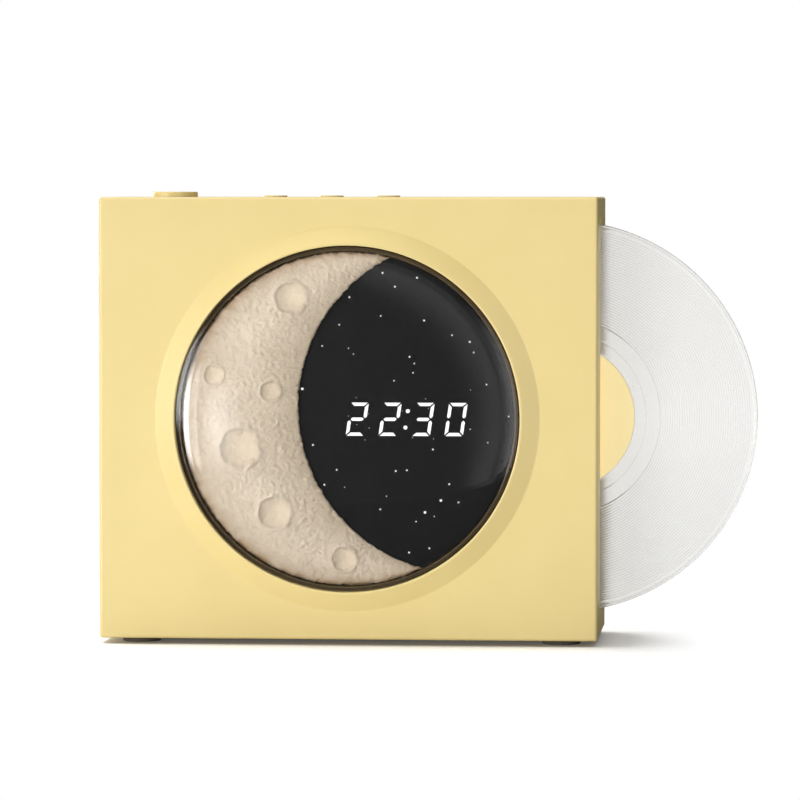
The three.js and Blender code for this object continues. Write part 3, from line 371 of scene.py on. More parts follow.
def rounded_rectangle(half_x, half_y, radius, arc_steps=6, edge_steps=1):
    """Corner arcs joined by edges that are divided at even angles as seen from the middle."""
    corners = []
    for sx, sy, start in ((1, 1, 0), (-1, 1, 90), (-1, -1, 180), (1, -1, 270)):
        centre = Vector((sx * (half_x - radius), sy * (half_y - radius)))
        arc = []
        for k in range(arc_steps + 1):
            angle = math.radians(start + 90 * k / arc_steps)
            arc.append(centre + radius * Vector((math.cos(angle), math.sin(angle))))
        corners.append(arc)
    points = []
    for i, arc in enumerate(corners):
        points += arc
        a, b = arc[-1], corners[(i + 1) % 4][0]
        first = math.atan2(a.y, a.x)
        turn = (math.atan2(b.y, b.x) - first) % (2 * math.pi)
        for k in range(1, edge_steps):
            angle = first + turn * k / edge_steps
            ray = Vector((math.cos(angle), math.sin(angle)))
            step = b - a
            share = -(a.x * ray.y - a.y * ray.x) / (step.x * ray.y - step.y * ray.x)
            points.append(a + step * share)
    return points


def section(points, y, x=0.0, z=CASE_MIDDLE):
    """An outline set upright at a depth, round a place."""
    return [(x + point.x, y, z + point.y) for point in points]


def plate(radius, low, high, edge, steps):
    """Profile of a round plate with softened edges."""
    return softened([(0, low), (radius, low), (radius, high), (0, high)], edge, steps)


def mesh_object(name, *shapes):
    mesh = bpy.data.meshes.new(name)
    vertices, faces = [], []
    for points, polygons in shapes:
        start = len(vertices)
        vertices += [placed(*point) for point in points]
        faces += [[start + i for i in polygon] for polygon in polygons]
    mesh.from_pydata(vertices, [], faces)
    form = bmesh.new()
    form.from_mesh(mesh)
    bmesh.ops.recalc_face_normals(form, faces=form.faces)
    form.to_mesh(mesh)
    form.free()
    piece = bpy.data.objects.new(name, mesh)
    bpy.context.scene.collection.objects.link(piece)
    return piece


def carve(piece, *shapes):
    """Cut closed shapes out of a piece."""
    cutter = mesh_object(piece.name + "_cutter", *shapes)
    step = piece.modifiers.new("cut", "BOOLEAN")
    step.operation = "DIFFERENCE"
    step.solver = "EXACT"
    step.object = cutter
    bpy.context.view_layer.update()
    result = bpy.data.meshes.new_from_object(piece.evaluated_get(bpy.context.evaluated_depsgraph_get()))
    piece.modifiers.clear()
    piece.data = result
    bpy.data.objects.remove(cutter)


def trim_left(piece, x):
    """Cut a piece off straight, on the plane that looks towards -X, and close it."""
    form = bmesh.new()
    form.from_mesh(piece.data)
    plane = placed(x, 0, 0)
    everything = form.verts[:] + form.edges[:] + form.faces[:]
    cut = bmesh.ops.bisect_plane(form, geom=everything, plane_co=plane, plane_no=(-1, 0, 0), clear_outer=True)
    rim = [item for item in cut["geom_cut"] if isinstance(item, bmesh.types.BMEdge)]
    bmesh.ops.contextual_create(form, geom=rim)
    bmesh.ops.recalc_face_normals(form, faces=form.faces)
    form.to_mesh(piece.data)
    form.free()
    return piece


def dress(piece, slot, body=ROOT, nodes=(), crease=32, look=None):
    """Give a piece its material, its creases, the body that carries it and the nodes it stands for."""
    mesh = piece.data
    mesh.materials.clear()
    mesh.materials.append(LOOKS[look or slot])
    mesh.polygons.foreach_set("use_smooth", [True] * len(mesh.polygons))
    mesh.set_sharp_from_angle(angle=math.radians(crease))
    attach(piece, body)
    if nodes:
        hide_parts(*nodes)


# Materials

LOOKS = {}


class Tree:
    """A node tree, with short ways to add the nodes that looks, lamps and background share."""

    def __init__(self, tree):
        self.nodes, self.links = tree.nodes, tree.links

    def node(self, kind):
        return self.nodes.new("ShaderNode" + kind)

    def parts(self, vector):
        node = self.node("SeparateXYZ")
        self.links.new(vector, node.inputs["Vector"])
        return [node.outputs[axis] for axis in "XYZ"]

    def ranged(self, factor, low, high, start=0.3, end=0.7, smooth=False):
        """From low at start to high at end, and no further."""
        node = self.node("MapRange")
        if smooth:
            node.interpolation_type = "SMOOTHSTEP"
        for key, value in (("From Min", start), ("From Max", end), ("To Min", low), ("To Max", high)):
            node.inputs[key].default_value = value
        self.links.new(factor, node.inputs["Value"])
        return node.outputs["Result"]

    def maths(self, operation, *values):
        node = self.node("Math")
        node.operation = operation
        for value, socket in zip(values, node.inputs):
            if isinstance(value, (int, float)):
                socket.default_value = value
            else:
                self.links.new(value, socket)
        return node.outputs[0]

    def product(self, first, second):
        return self.maths("MULTIPLY", first, second)

    def larger(self, first, second):
        return self.maths("MAXIMUM", first, second)

    def measured(self, operation, vector, other=(0, 0, 0)):
        """The number that an operation on a vector gives."""
        node = self.node("VectorMath")
        node.operation = operation
        self.links.new(vector, node.inputs[0])
        node.inputs[1].default_value = other
        return node.outputs["Value"]

    def filled(self, factor, value):
        """A value that goes to 1 as the factor does."""
        node = self.node("Mix")
        self.links.new(factor, node.inputs["Factor"])
        self.links.new(value, node.inputs["A"])
        node.inputs["B"].default_value = 1.0
        return node.outputs["Result"]

    def seen(self, path, gloss, behind, bounces):
        """Rays that see the white surroundings: the camera's, gloss of what lies behind, and through glass."""
        plainly = self.ranged(path["Ray Depth"], 1, 0, bounces - 0.1, bounces + 0.1)
        through = self.product(path["Is Transmission Ray"], self.larger(behind, plainly))
        shiny = self.product(self.product(path["Is Glossy Ray"], gloss), behind)
        return self.larger(path["Is Camera Ray"], self.larger(shiny, through))


class Look(Tree):
    """A node material with one surface shader and detail from noise in the object's own coordinates."""

    def __init__(self, name, **values):
        self.material = LOOKS[name] = bpy.data.materials.new(name)
        self.material.use_nodes = True
        super().__init__(self.material.node_tree)
        self.nodes.clear()
        self.output = self.node("OutputMaterial")
        self.shader = self.node("BsdfPrincipled")
        self.links.new(self.shader.outputs["BSDF"], self.output.inputs["Surface"])
        self.place = self.node("TexCoord").outputs["Object"]
        for socket, value in values.items():
            self.shader.inputs[socket.replace("_", " ")].default_value = value

    def noise(self, size, detail=3.0, roughness=0.55):
        """Noise whose features are about size millimetres."""
        node = self.node("TexNoise")
        node.inputs["Scale"].default_value = 1 / (size * MM)
        node.inputs["Detail"].default_value = detail
        node.inputs["Roughness"].default_value = roughness
        self.links.new(self.place, node.inputs["Vector"])
        return node.outputs["Fac"]

    def attribute(self, name):
        node = self.node("Attribute")
        node.attribute_name = name
        return node.outputs["Fac"]

    def mixed(self, factor, first, second):
        """A blend of two colours."""
        node = self.node("Mix")
        node.data_type = "RGBA"
        self.links.new(factor, node.inputs["Factor"])
        for value, socket in ((first, node.inputs[6]), (second, node.inputs[7])):
            if isinstance(value, tuple):
                socket.default_value = (*value, 1)
            else:
                self.links.new(value, socket)
        return node.outputs[2]

    def set(self, socket, value):
        self.links.new(value, self.shader.inputs[socket])

    def bump(self, height, depth):
        """Bump of a depth in millimetres."""
        node = self.node("Bump")
        node.inputs["Strength"].default_value = 1.0
        node.inputs["Distance"].default_value = depth * MM
        self.links.new(height, node.inputs["Height"])
        self.set("Normal", node.outputs["Normal"])


def mottled(name, dark, light, *, patch, roughness, grain, depth, **values):
    """Two near colours in patches, varying roughness and a fine grain; sizes in millimetres."""
    look = Look(name, **values)
    look.set("Base Color", look.mixed(look.ranged(look.noise(patch), 0, 1), dark, light))
    look.set("Roughness", look.ranged(look.noise(patch / 3), *roughness))
    look.bump(look.noise(grain, detail=2), depth)


YELLOW_DARK = (0.785, 0.625, 0.26)
YELLOW_LIGHT = (0.805, 0.645, 0.275)
LABEL_DARK = (0.80, 0.665, 0.335)
LABEL_LIGHT = (0.82, 0.685, 0.355)

mottled("yellow_plastic", YELLOW_DARK, YELLOW_LIGHT,
        patch=14, roughness=(0.40, 0.46), grain=0.35, depth=0.004, Specular_IOR_Level=0.6)
# The label glows: painted light that keeps it as bright as the front, though the case shades it
mottled("yellow_label", LABEL_DARK, LABEL_LIGHT,
        patch=9, roughness=(0.45, 0.55), grain=0.25, depth=0.004, Specular_IOR_Level=0.35,
        Emission_Color=(*LABEL_LIGHT, 1), Emission_Strength=0.57)
# The dark ring's warm brown is partly its own colour and partly a painted reflection of the yellow case
mottled("dark_gloss_plastic", (0.09, 0.063, 0.032), (0.12, 0.084, 0.042),
        patch=6, roughness=(0.18, 0.28), grain=0.8, depth=0.002, Specular_IOR_Level=0.25)
mottled("sky_black", (0.002, 0.002, 0.0021), (0.003, 0.003, 0.0032),
        patch=5, roughness=(0.55, 0.65), grain=1.2, depth=0.001, Specular_IOR_Level=0.08)
mottled("white_plastic", (0.78, 0.78, 0.75), (0.84, 0.84, 0.81),
        patch=6, roughness=(0.4, 0.55), grain=0.4, depth=0.01)
mottled("black_plastic", (0.014, 0.014, 0.014), (0.024, 0.024, 0.024),
        patch=3, roughness=(0.4, 0.6), grain=0.2, depth=0.01)
mottled("circuit_board", (0.008, 0.09, 0.04), (0.02, 0.14, 0.07),
        patch=1.6, roughness=(0.25, 0.4), grain=0.4, depth=0.02)
mottled("screw_steel", (0.42, 0.42, 0.43), (0.55, 0.55, 0.55),
        patch=0.8, roughness=(0.25, 0.4), grain=0.15, depth=0.01, Metallic=1.0)
mottled("plated_steel", (0.52, 0.53, 0.55), (0.62, 0.63, 0.64),
        patch=1.2, roughness=(0.2, 0.32), grain=0.2, depth=0.005, Metallic=1.0)
mottled("dark_steel", (0.02, 0.02, 0.022), (0.04, 0.04, 0.045),
        patch=2, roughness=(0.35, 0.5), grain=0.2, depth=0.01)
mottled("ferrite", (0.02, 0.02, 0.021), (0.045, 0.045, 0.046),
        patch=1, roughness=(0.6, 0.8), grain=0.15, depth=0.02)
mottled("copper_coil", (0.50, 0.20, 0.08), (0.62, 0.30, 0.13),
        patch=0.8, roughness=(0.25, 0.4), grain=0.2, depth=0.02, Metallic=1.0)
mottled("spider_cloth", (0.45, 0.30, 0.09), (0.62, 0.44, 0.16),
        patch=0.5, roughness=(0.8, 0.95), grain=0.2, depth=0.05)
mottled("cone_paper", (0.012, 0.012, 0.013), (0.03, 0.03, 0.032),
        patch=1.2, roughness=(0.65, 0.9), grain=0.25, depth=0.05)
mottled("surround_rubber", (0.009, 0.009, 0.009), (0.018, 0.018, 0.018),
        patch=2, roughness=(0.5, 0.7), grain=0.3, depth=0.01)
mottled("foot_rubber", (0.10, 0.088, 0.066), (0.14, 0.125, 0.095),
        patch=2, roughness=(0.7, 0.9), grain=0.25, depth=0.02)
mottled("battery_wrap", (0.04, 0.17, 0.42), (0.06, 0.21, 0.48),
        patch=4, roughness=(0.25, 0.35), grain=0.5, depth=0.01)
mottled("contact_gold", (0.62, 0.42, 0.14), (0.74, 0.52, 0.2),
        patch=0.6, roughness=(0.2, 0.3), grain=0.2, depth=0.004, Metallic=1.0)


def moon_look():
    """Plaster: grainy, mottled beige with darker specks, browner along the outer edge, with painted shade along
    the inner edge, and paler in the craters.
    """
    look = Look("moon_plaster", Specular_IOR_Level=0.2, Roughness=0.85)
    patches = look.ranged(look.noise(7, detail=4), 0, 1)
    beige = look.mixed(patches, (0.452, 0.383, 0.297), (0.515, 0.443, 0.352))
    specks = look.ranged(look.noise(0.5, detail=2), 0, 0.25, 0.58, 0.72)
    speckled = look.mixed(specks, beige, (0.40, 0.325, 0.243))
    # Painted shade: the plaster darkens towards the inner edge of the crescent
    with_painted_shade = look.mixed(look.attribute("shade"), speckled, (0.325, 0.268, 0.197))
    bowls = look.mixed(look.attribute("bowl"), with_painted_shade, (0.60, 0.50, 0.365))
    look.set("Base Color", look.mixed(look.attribute("rim"), bowls, (0.20, 0.115, 0.045)))
    look.bump(look.noise(1.1, detail=5, roughness=0.62), 0.24)


def acrylic_look():
    """Translucent white plate whose grooves and recesses are painted greyer as painted shade; it scatters light
    softly and keeps a gloss.
    """
    look = Look("frosted_acrylic", IOR=1.49, Transmission_Weight=0.85, Specular_IOR_Level=0.4)
    milky = look.mixed(look.ranged(look.noise(9), 0, 1), (0.962, 0.955, 0.94), (0.975, 0.968, 0.953))
    # Painted shade: greyer where the faces are sunk, in the grooves
    look.set("Base Color", look.mixed(look.attribute("groove"), milky, (0.72, 0.715, 0.70)))
    look.set("Roughness", look.ranged(look.noise(2), 0.19, 0.24))
    look.bump(look.noise(0.6), 0.004)


def lens_look():
    """Clear acrylic with a coat against glare, which lets the lamps through to what lies behind it."""
    look = Look("clear_lens", IOR=1.3, Transmission_Weight=1.0, Base_Color=(1, 1, 1, 1))
    look.set("Roughness", look.ranged(look.noise(12), 0.0, 0.012))
    clear = look.node("BsdfTransparent")
    clear.inputs["Color"].default_value = (0.97, 0.97, 0.965, 1)
    choice = look.node("MixShader")
    look.links.new(look.node("LightPath").outputs["Is Shadow Ray"], choice.inputs["Fac"])
    look.links.new(look.shader.outputs["BSDF"], choice.inputs[1])
    look.links.new(clear.outputs["BSDF"], choice.inputs[2])
    look.links.new(choice.outputs["Shader"], look.output.inputs["Surface"])


def lit_look(name):
    """White light through a diffuser, with a faint unevenness."""
    look = Look(name, Roughness=0.5, Emission_Strength=1.0)
    uneven = look.ranged(look.noise(1.5), 0, 1)
    look.set("Base Color", look.mixed(uneven, (0.12, 0.12, 0.125), (0.16, 0.16, 0.16)))
    look.set("Emission Color", look.mixed(uneven, (0.97, 0.98, 1.0), (1.0, 1.0, 1.0)))


moon_look()
acrylic_look()
lens_look()
lit_look("lit_digits")
lit_look("lit_stars")

for subpart in frame["record"]["subparts"]:
    node = frame["nodes"][subpart["node"]]
    node.data.materials.clear()
    node.data.materials.append(LOOKS[subpart["material_slot"]])


# Front shell

def outline(inset):
    corner = max(CORNER - inset, CORNER_LEAST)
    halves = CASE_WIDTH / 2 - inset, CASE_HEIGHT / 2 - inset
    return rounded_rectangle(*halves, corner, arc_steps=8, edge_steps=72)


def shell_loops():
    """Sections from the window's bore over the cone and the front, round the outside and back inside."""
    support, bevel = 0.25, 0.1
    front = outline(FILLET + support)
    quarter = [math.pi / 2 * k / 8 for k in range(9)]
    loops = []

    def ring(radius, y):
        angles = [math.atan2(point.y, point.x) for point in front]
        loops.append([(radius * math.cos(a), y, CASE_MIDDLE + radius * math.sin(a)) for a in angles])

    def frame_at(inset, y):
        loops.append(section(outline(inset), y))

    lip = softened([(WINDOW_RADIUS, WALL), (WINDOW_RADIUS, -CONE_HEIGHT), (CONE_TOP, -CONE_HEIGHT),
                    (CONE_FOOT, 0.0), (CONE_FOOT + 1, 0.0)], radius=0.22, steps=4)
    for radius, y in lip:
        ring(radius, y)
    frame_at(FILLET + support, 0)
    for angle in quarter:
        frame_at(FILLET * (1 - math.sin(angle)), FILLET * (1 - math.cos(angle)))
    frame_at(0, FILLET + support)
    frame_at(0, CASE_DEPTH - FILLET - support)
    for angle in quarter:
        frame_at(FILLET * (1 - math.cos(angle)), CASE_DEPTH - FILLET * (1 - math.sin(angle)))
    frame_at(FILLET + support, CASE_DEPTH)
    frame_at(WALL - bevel, CASE_DEPTH)
    frame_at(WALL, CASE_DEPTH - bevel)
    frame_at(WALL, WALL)
    return loops


def bore(axis, centre, radius, bottom, top, flare, sides):
    """A round cutter from its bottom to a face and past it, with a small flare at the face."""
    wide = radius + flare
    profile = [(0, bottom), (radius, bottom), (radius, top - flare), (wide, top + OVERLAP),
               (wide, top + PAST), (0, top + PAST)]
    return turned(profile, sides, axis, centre)


def slot_cutter():
    flare = 0.25
    half_y = DISC_THICKNESS / 2 + GAP
    half_z = DISC_RADIUS + GAP
    middle_y = DISC_FRONT + DISC_THICKNESS / 2
    side = CASE_WIDTH / 2
    loops = []
    for x, grow in ((side - 4, 0), (side - flare, 0), (side + OVERLAP, flare), (side + PAST, flare)):
        points = rounded_rectangle(half_y + grow, half_z + grow, radius=0.6, arc_steps=5)
        loops.append([(x, middle_y + point.x, CASE_MIDDLE + point.y) for point in points])
    return lofted(loops)


def foot_cutter(x, y):
    profile = [(0, -PAST), (FOOT_RADIUS + GAP, -PAST), (FOOT_RADIUS + GAP, FOOT_RECESS), (0, FOOT_RECESS)]
    return turned(profile, 48, "Z", (x, y, 0))


shell = mesh_object("case_shell", lofted(shell_loops(), closed=True))
button_holes = [
    bore("Z", (x, BUTTON_Y, 0), radius + GAP, BUTTON_HOLE_FLOOR, CASE_HEIGHT, flare=0.2, sides=64)
    for _, _, x, radius, _ in BUTTONS
]
carve(shell, slot_cutter(), *button_holes, *[foot_cutter(x, y) for x, y in FEET.values()])
dress(shell, "yellow_plastic", nodes=["front_shell"], crease=28)


# Buttons and feet

for node_name, body, x, radius, rise in BUTTONS:
    top = CASE_HEIGHT + rise
    lip = radius + BUTTON_LIP
    stem = [(0, PLUNGER_TOP), (BUTTON_STEM, PLUNGER_TOP), (BUTTON_STEM, LIP_BOTTOM), (lip, LIP_BOTTOM),
            (lip, LIP_TOP), (radius, LIP_TOP)]
    cap = softened([(radius, LIP_TOP), (radius, top), (radius * 0.86, top),
                    (radius * 0.5, top - BUTTON_DISH * 0.8), (0, top - BUTTON_DISH)], radius=0.4, steps=5)
    button = mesh_object(node_name + "_cap", turned(stem + cap[1:], 96, "Z", (x, BUTTON_Y, 0)))
    dress(button, "yellow_plastic", body, [node_name], crease=40)

for node_name, (x, y) in FEET.items():
    profile = plate(FOOT_RADIUS, -FOOT_HEIGHT, FOOT_RECESS, edge=0.4, steps=5)
    foot = mesh_object(node_name + "_pad", turned(profile, 64, "Z", (x, y, 0)))
    dress(foot, "foot_rubber", nodes=[node_name], crease=50)


# Window: ring, lens and panel

AXIS = (0, 0, CASE_MIDDLE)
FINE_SIDES = 192

bezel_profile = softened([
    (BEZEL_BORE, BEZEL_FRONT), (BEZEL_RADIUS, BEZEL_FRONT), (BEZEL_RADIUS, WALL), (BEZEL_FLANGE, WALL),
    (BEZEL_FLANGE, BEZEL_REAR), (BEZEL_SEAT_BORE, BEZEL_REAR), (BEZEL_SEAT_BORE, BEZEL_SEAT),
    (BEZEL_BORE, BEZEL_SEAT),
], radius=0.12, steps=3, closed=True)
bezel = mesh_object("window_ring", turned(bezel_profile, FINE_SIDES, "Y", AXIS))
dress(bezel, "dark_gloss_plastic", nodes=["window_bezel"], crease=40)


def dome(radius, shoulder):
    points = []
    for i in range(LENS_STEPS + 1):
        share = math.sin(i / LENS_STEPS * math.pi / 2)
        points.append((radius * share, shoulder - LENS_RISE * (1 - share ** LENS_FLATTEN) ** LENS_ROUND))
    return points


lens_profile = dome(BEZEL_RADIUS, LENS_SHOULDER) + [(BEZEL_RADIUS, BEZEL_FRONT)]
lens_profile += dome(BEZEL_RADIUS - LENS_THICKNESS, BEZEL_FRONT)[::-1]
lens = mesh_object("window_lens", turned(lens_profile, FINE_SIDES, "Y", AXIS))
dress(lens, "clear_lens", nodes=["lens_dome"], crease=40)

panel_profile = plate(PANEL_RADIUS, PANEL_FRONT, PANEL_FRONT + PANEL_THICKNESS, edge=0.1, steps=3)
panel = mesh_object("night_sky", turned(panel_profile, FINE_SIDES, "Y", AXIS))
dress(panel, "sky_black", nodes=["sky_panel"], crease=40)


# Moon

def rough(x, z, size, seed):
    return noise.noise(Vector((x / size, z / size, seed)))


def layered(x, z, layers):
    return sum(height * rough(x, z, size, seed) for size, seed, height in layers)


def rounded_edge(distance, width, least):
    """A share that goes from least at an edge to 1 inside it, round a quarter of a circle."""
    left = max(0.0, 1 - distance / width)
    return least + (1 - least) * math.sqrt(1 - left * left)


def paint(piece, name, values):
    """Give each vertex a value that the material reads."""
    piece.data.attributes.new(name, "FLOAT", "POINT").data.foreach_set("value", values)


def crater_shape(x, z):
    """Height added by the craters and how far inside one the point lies."""
    height, inside = 0.0, 0.0
    for cx, cz, radius in CRATERS:
        distance = math.hypot(x - cx, z - cz)
        if distance > 2 * radius:
            continue
        share = distance / radius * (1 + CRATER_RAGGED * rough(x, z, CRATER_RAGGED_SIZE, cx))
        if share < 1:
            height -= CRATER_DEPTH * radius * (1 - share * share)
            inside = max(inside, min(1.0, (1 - share) * 5))
        height += CRATER_RIM_HEIGHT * math.exp(-((share - CRATER_RIM) / CRATER_RIM_WIDTH) ** 2)
    return height, inside


def moon_mesh():
    """A grid along the crescent and across it, inner edge first, with walls down to the panel."""
    along, across = MOON_ROWS, MOON_COLUMNS
    shadow = Vector(SHADOW_CENTRE)
    distance = shadow.length
    facing = math.atan2(shadow.y, shadow.x)
    chord = (distance ** 2 + MOON_RADIUS ** 2 - SHADOW_RADIUS ** 2) / (2 * distance)
    moon_half = math.acos(chord / MOON_RADIUS)
    shadow_half = math.acos((distance - chord) / SHADOW_RADIUS)
    vertices, rims, bowls, painted_shades = [], [], [], []
    for i in range(along + 1):
        u = i / along
        a = facing + moon_half + u * (2 * math.pi - 2 * moon_half)
        b = facing + math.pi - shadow_half + u * 2 * shadow_half
        ox, oz = MOON_RADIUS * math.cos(a), MOON_RADIUS * math.sin(a)
        ix, iz = shadow.x + SHADOW_RADIUS * math.cos(b), shadow.y + SHADOW_RADIUS * math.sin(b)
        ragged_out = 1 - (MOON_INSET + layered(ox, oz, RAGGED_OUTSIDE)) / MOON_RADIUS
        ragged_in = 1 + layered(ix, iz, RAGGED_INSIDE) / SHADOW_RADIUS
        outer = Vector((ox, oz)) * ragged_out
        inner = shadow + (Vector((ix, iz)) - shadow) * ragged_in
        width = (outer - inner).length
        for j in range(across + 1):
            v = j / across
            depth = (1 - v) * width
            point = inner.lerp(outer, v)
            x, z = point
            radius = min(1.0, point.length / MOON_RADIUS)
            height = MOON_EDGE + (MOON_CROWN - MOON_EDGE) * math.sqrt(1 - radius * radius)
            height *= 1 - MOON_THINNING * max(0.0, 1 - v / MOON_THIN_UNTIL) ** 2
            dents, inside = crater_shape(x, z)
            grit = (GRIT_INSIDE - GRIT_FALL * v) * (1 + layered(x, z, GRIT_PATCHES))
            plaster = layered(x, z, PLASTER) + grit * layered(x, z, GRIT)
            height += dents + plaster * (1 - 0.8 * inside)
            edges = rounded_edge(depth, *OUTER_EDGE) * rounded_edge(v * width, *INNER_EDGE)
            height = MOON_LEAST + (height - MOON_LEAST) * edges
            vertices.append((x, PANEL_FRONT - height, CASE_MIDDLE + z))
            brown = BROWN_LEVEL + layered(x, z, BROWN_PATCHES)
            rims.append(min(1.0, math.exp(-depth / BROWN_REACH) * brown))
            # Painted shade: a share that grows towards the inner edge, read by the material
            painted_shades.append(max(0.0, 1 - v / PAINTED_SHADE_REACH) ** PAINTED_SHADE_CURVE)
            bowls.append(BOWL_PALENESS * inside)
    row = across + 1
    faces = []
    for i in range(along):
        for j in range(across):
            k = i * row + j
            faces.append([k, k + 1, k + row + 1, k + row])
    border = [i * row for i in range(along + 1)]
    border += [along * row + j for j in range(1, across + 1)]
    border += [i * row + across for i in range(along - 1, -1, -1)]
    border += [j for j in range(across - 1, 0, -1)]
    base = {}
    for k in border:
        base[k] = len(vertices)
        x, _, z = vertices[k]
        vertices.append((x, PANEL_FRONT, z))
        rims.append(rims[k])
        bowls.append(0.0)
        painted_shades.append(painted_shades[k])
    for k, following in zip(border, border[1:] + border[:1]):
        faces.append([k, following, base[following], base[k]])
    for i in range(along):
        near, far = i * row, (i + 1) * row
        faces.append([base[near], base[far], base[far + across], base[near + across]])
    piece = mesh_object("moon", (vertices, faces))
    paint(piece, "rim", rims)
    paint(piece, "bowl", bowls)
    paint(piece, "shade", painted_shades)
    return piece


dress(moon_mesh(), "moon_plaster", nodes=["moon_relief"], crease=60)


# Clock digits and stars, let into the panel's front

def segment_outlines():
    w, h, t, g = DIGIT_WIDTH, DIGIT_HEIGHT, SEGMENT_WIDTH, SEGMENT_GAP
    middle = h / 2
    flat = [(g, h), (w - g, h), (w - t - g, h - t), (t + g, h - t)]
    upright = [(w, h - g), (w - t, h - t - g), (w - t, middle + t / 2 + g), (w - t / 2, middle + g),
               (w, middle + t / 2 + g)]
    bar = [(t / 2 + g, middle), (t + g, middle + t / 2), (w - t - g, middle + t / 2), (w - t / 2 - g, middle),
           (w - t - g, middle - t / 2), (t + g, middle - t / 2)]

    def sideways(points):
        return [(w - x, z) for x, z in points]

    def upside_down(points):
        return [(x, h - z) for x, z in points]

    return {
        "a": flat, "b": upright, "c": upside_down(upright), "d": upside_down(flat),
        "e": upside_down(sideways(upright)), "f": sideways(upright), "g": bar,
    }


def inlay(points, proud):
    """A flat shape with softened corners, let into the panel and standing a hair proud of it."""
    rounded = softened(points, radius=0.1, steps=3, closed=True)
    middle = Vector((sum(x for x, _ in rounded), sum(z for _, z in rounded))) / len(rounded)
    spokes = [Vector(point) - middle for point in rounded]
    loops = []
    for rise, share in ((-INLAY_DEPTH, 1.0), (proud * 0.5, 1.0), (proud, INLAY_TOP)):
        ends = [middle + spoke * share for spoke in spokes]
        loops.append([(end.x, PANEL_FRONT - rise, end.y) for end in ends])
    return lofted(loops)


def circle(x, z, radius, sides):
    return [(x + radius * math.cos(2 * math.pi * k / sides), z + radius * math.sin(2 * math.pi * k / sides))
            for k in range(sides)]


def digits():
    outlines = segment_outlines()
    span = (len(SHOWN_TIME) - 1) * DIGIT_PITCH + DIGIT_WIDTH
    shapes = []
    for place, lit in enumerate(SHOWN_TIME):
        left = DISPLAY_X - span / 2 + place * DIGIT_PITCH
        for letter in lit:
            points = []
            for x, z in outlines[letter]:
                height = z - DIGIT_HEIGHT / 2
                points.append((left + x + height * DIGIT_SLANT, DISPLAY_Z + height))
            shapes.append(inlay(points, DIGIT_PROUD))
    for side in (-1, 1):
        x = DISPLAY_X + side * COLON_RISE * DIGIT_SLANT
        dot = circle(x, DISPLAY_Z + side * COLON_RISE, COLON_RADIUS, sides=20)
        shapes.append(inlay(dot, DIGIT_PROUD))
    return shapes


def stars():
    shapes = []
    for radius, places in STARS.items():
        for x, z in places:
            shapes.append(inlay(circle(x, CASE_MIDDLE + z, radius, sides=12), STAR_PROUD))
    chance = random.Random(DUST_SEED)
    for _ in range(DUST_COUNT):
        x = DISPLAY_X + chance.uniform(*DUST_X)
        z = CASE_MIDDLE + chance.uniform(*DUST_Z)
        shapes.append(inlay(circle(x, z, DUST_RADIUS, sides=8), DUST_PROUD))
    return shapes


dress(mesh_object("clock_digits", *digits()), "white_plastic", look="lit_digits")
dress(mesh_object("star_field", *stars()), "white_plastic", look="lit_stars")


# Record plate with grooves on both faces, and its labels

def face_profile():
    """Radius and depth below the face, from the label's recess to the rim."""
    points = [(0, LABEL_THICKNESS), (LABEL_RADIUS + 0.1, LABEL_THICKNESS), (LABEL_RADIUS + 0.12, 0.03),
              (LABEL_RADIUS + 0.3, 0), (LABEL_RADIUS + 0.38, 0)]
    for radius, depth in (INNER_RING, DEAD_WAX):
        points += [(radius - RING_LAND, 0), (radius - RING_HALF, 0), (radius, depth), (radius + RING_HALF, 0),
                   (radius + RING_LAND, 0)]
    radius = DEAD_WAX[0] + 0.6
    while radius < GROOVE_END:
        points += [(radius - GROOVE_PITCH * 0.3, 0), (radius, GROOVE_DEPTH), (radius + GROOVE_PITCH * 0.3, 0)]
        radius += GROOVE_PITCH
    points += [(DISC_RADIUS - 0.8, 0), (DISC_RADIUS - 0.6, 0.06), (DISC_RADIUS - 0.4, 0)]
    return points


front_face = [(radius, DISC_FRONT + depth) for radius, depth in face_profile()]
rear_face = [(radius, DISC_FRONT + DISC_THICKNESS - depth) for radius, depth in face_profile()][::-1]
rim = softened([
    front_face[-1], (DISC_RADIUS, DISC_FRONT), (DISC_RADIUS, DISC_FRONT + DISC_THICKNESS), rear_face[0],
], radius=0.3, steps=4)
DISC_AXIS = (DISC_X, 0, CASE_MIDDLE)
disc = mesh_object("record", turned(front_face + rim[1:-1] + rear_face, 240, "Y", DISC_AXIS))
DISC_MIDDLE = placed(0, DISC_FRONT + DISC_THICKNESS / 2, 0).y
sunk = [DISC_THICKNESS / 2 - abs(vertex.co.y - DISC_MIDDLE) / MM for vertex in disc.data.vertices]
# How far each point lies below the face, read by the material as painted shade in the grooves
paint(disc, "groove", [min(1.0, depth / GROOVE_DEPTH) for depth in sunk])
trim_left(disc, DISC_EDGE_X)
dress(disc, "frosted_acrylic", "record_plate", ["record_disc"], crease=20)

for side, face in (("front", DISC_FRONT), ("rear", DISC_FRONT + DISC_THICKNESS - LABEL_THICKNESS)):
    profile = plate(LABEL_RADIUS, face, face + LABEL_THICKNESS, edge=0.1, steps=3)
    label = trim_left(mesh_object(f"record_label_{side}", turned(profile, 160, "Y", DISC_AXIS)), DISC_EDGE_X)
    dress(label, "yellow_label", "record_plate", [f"disc_label_{side}"], crease=40)


# Back: cover, grille, screws and charging socket

def stadium_loops(levels):
    """Sections of the socket's rounded slot, each as a depth and what it grows by."""
    loops = []
    for y, grow in levels:
        half_x, half_z = SOCKET_HALF[0] + grow, SOCKET_HALF[1] + grow
        points = rounded_rectangle(half_x, half_z, half_z - 0.01, arc_steps=10)
        loops.append(section(points, y, *SOCKET_PLACE))
    return loops


def hole_back(x, z, radius, front, rear, flare, sides):
    return bore("Y", (x, 0, z), radius, front, rear, flare, sides)


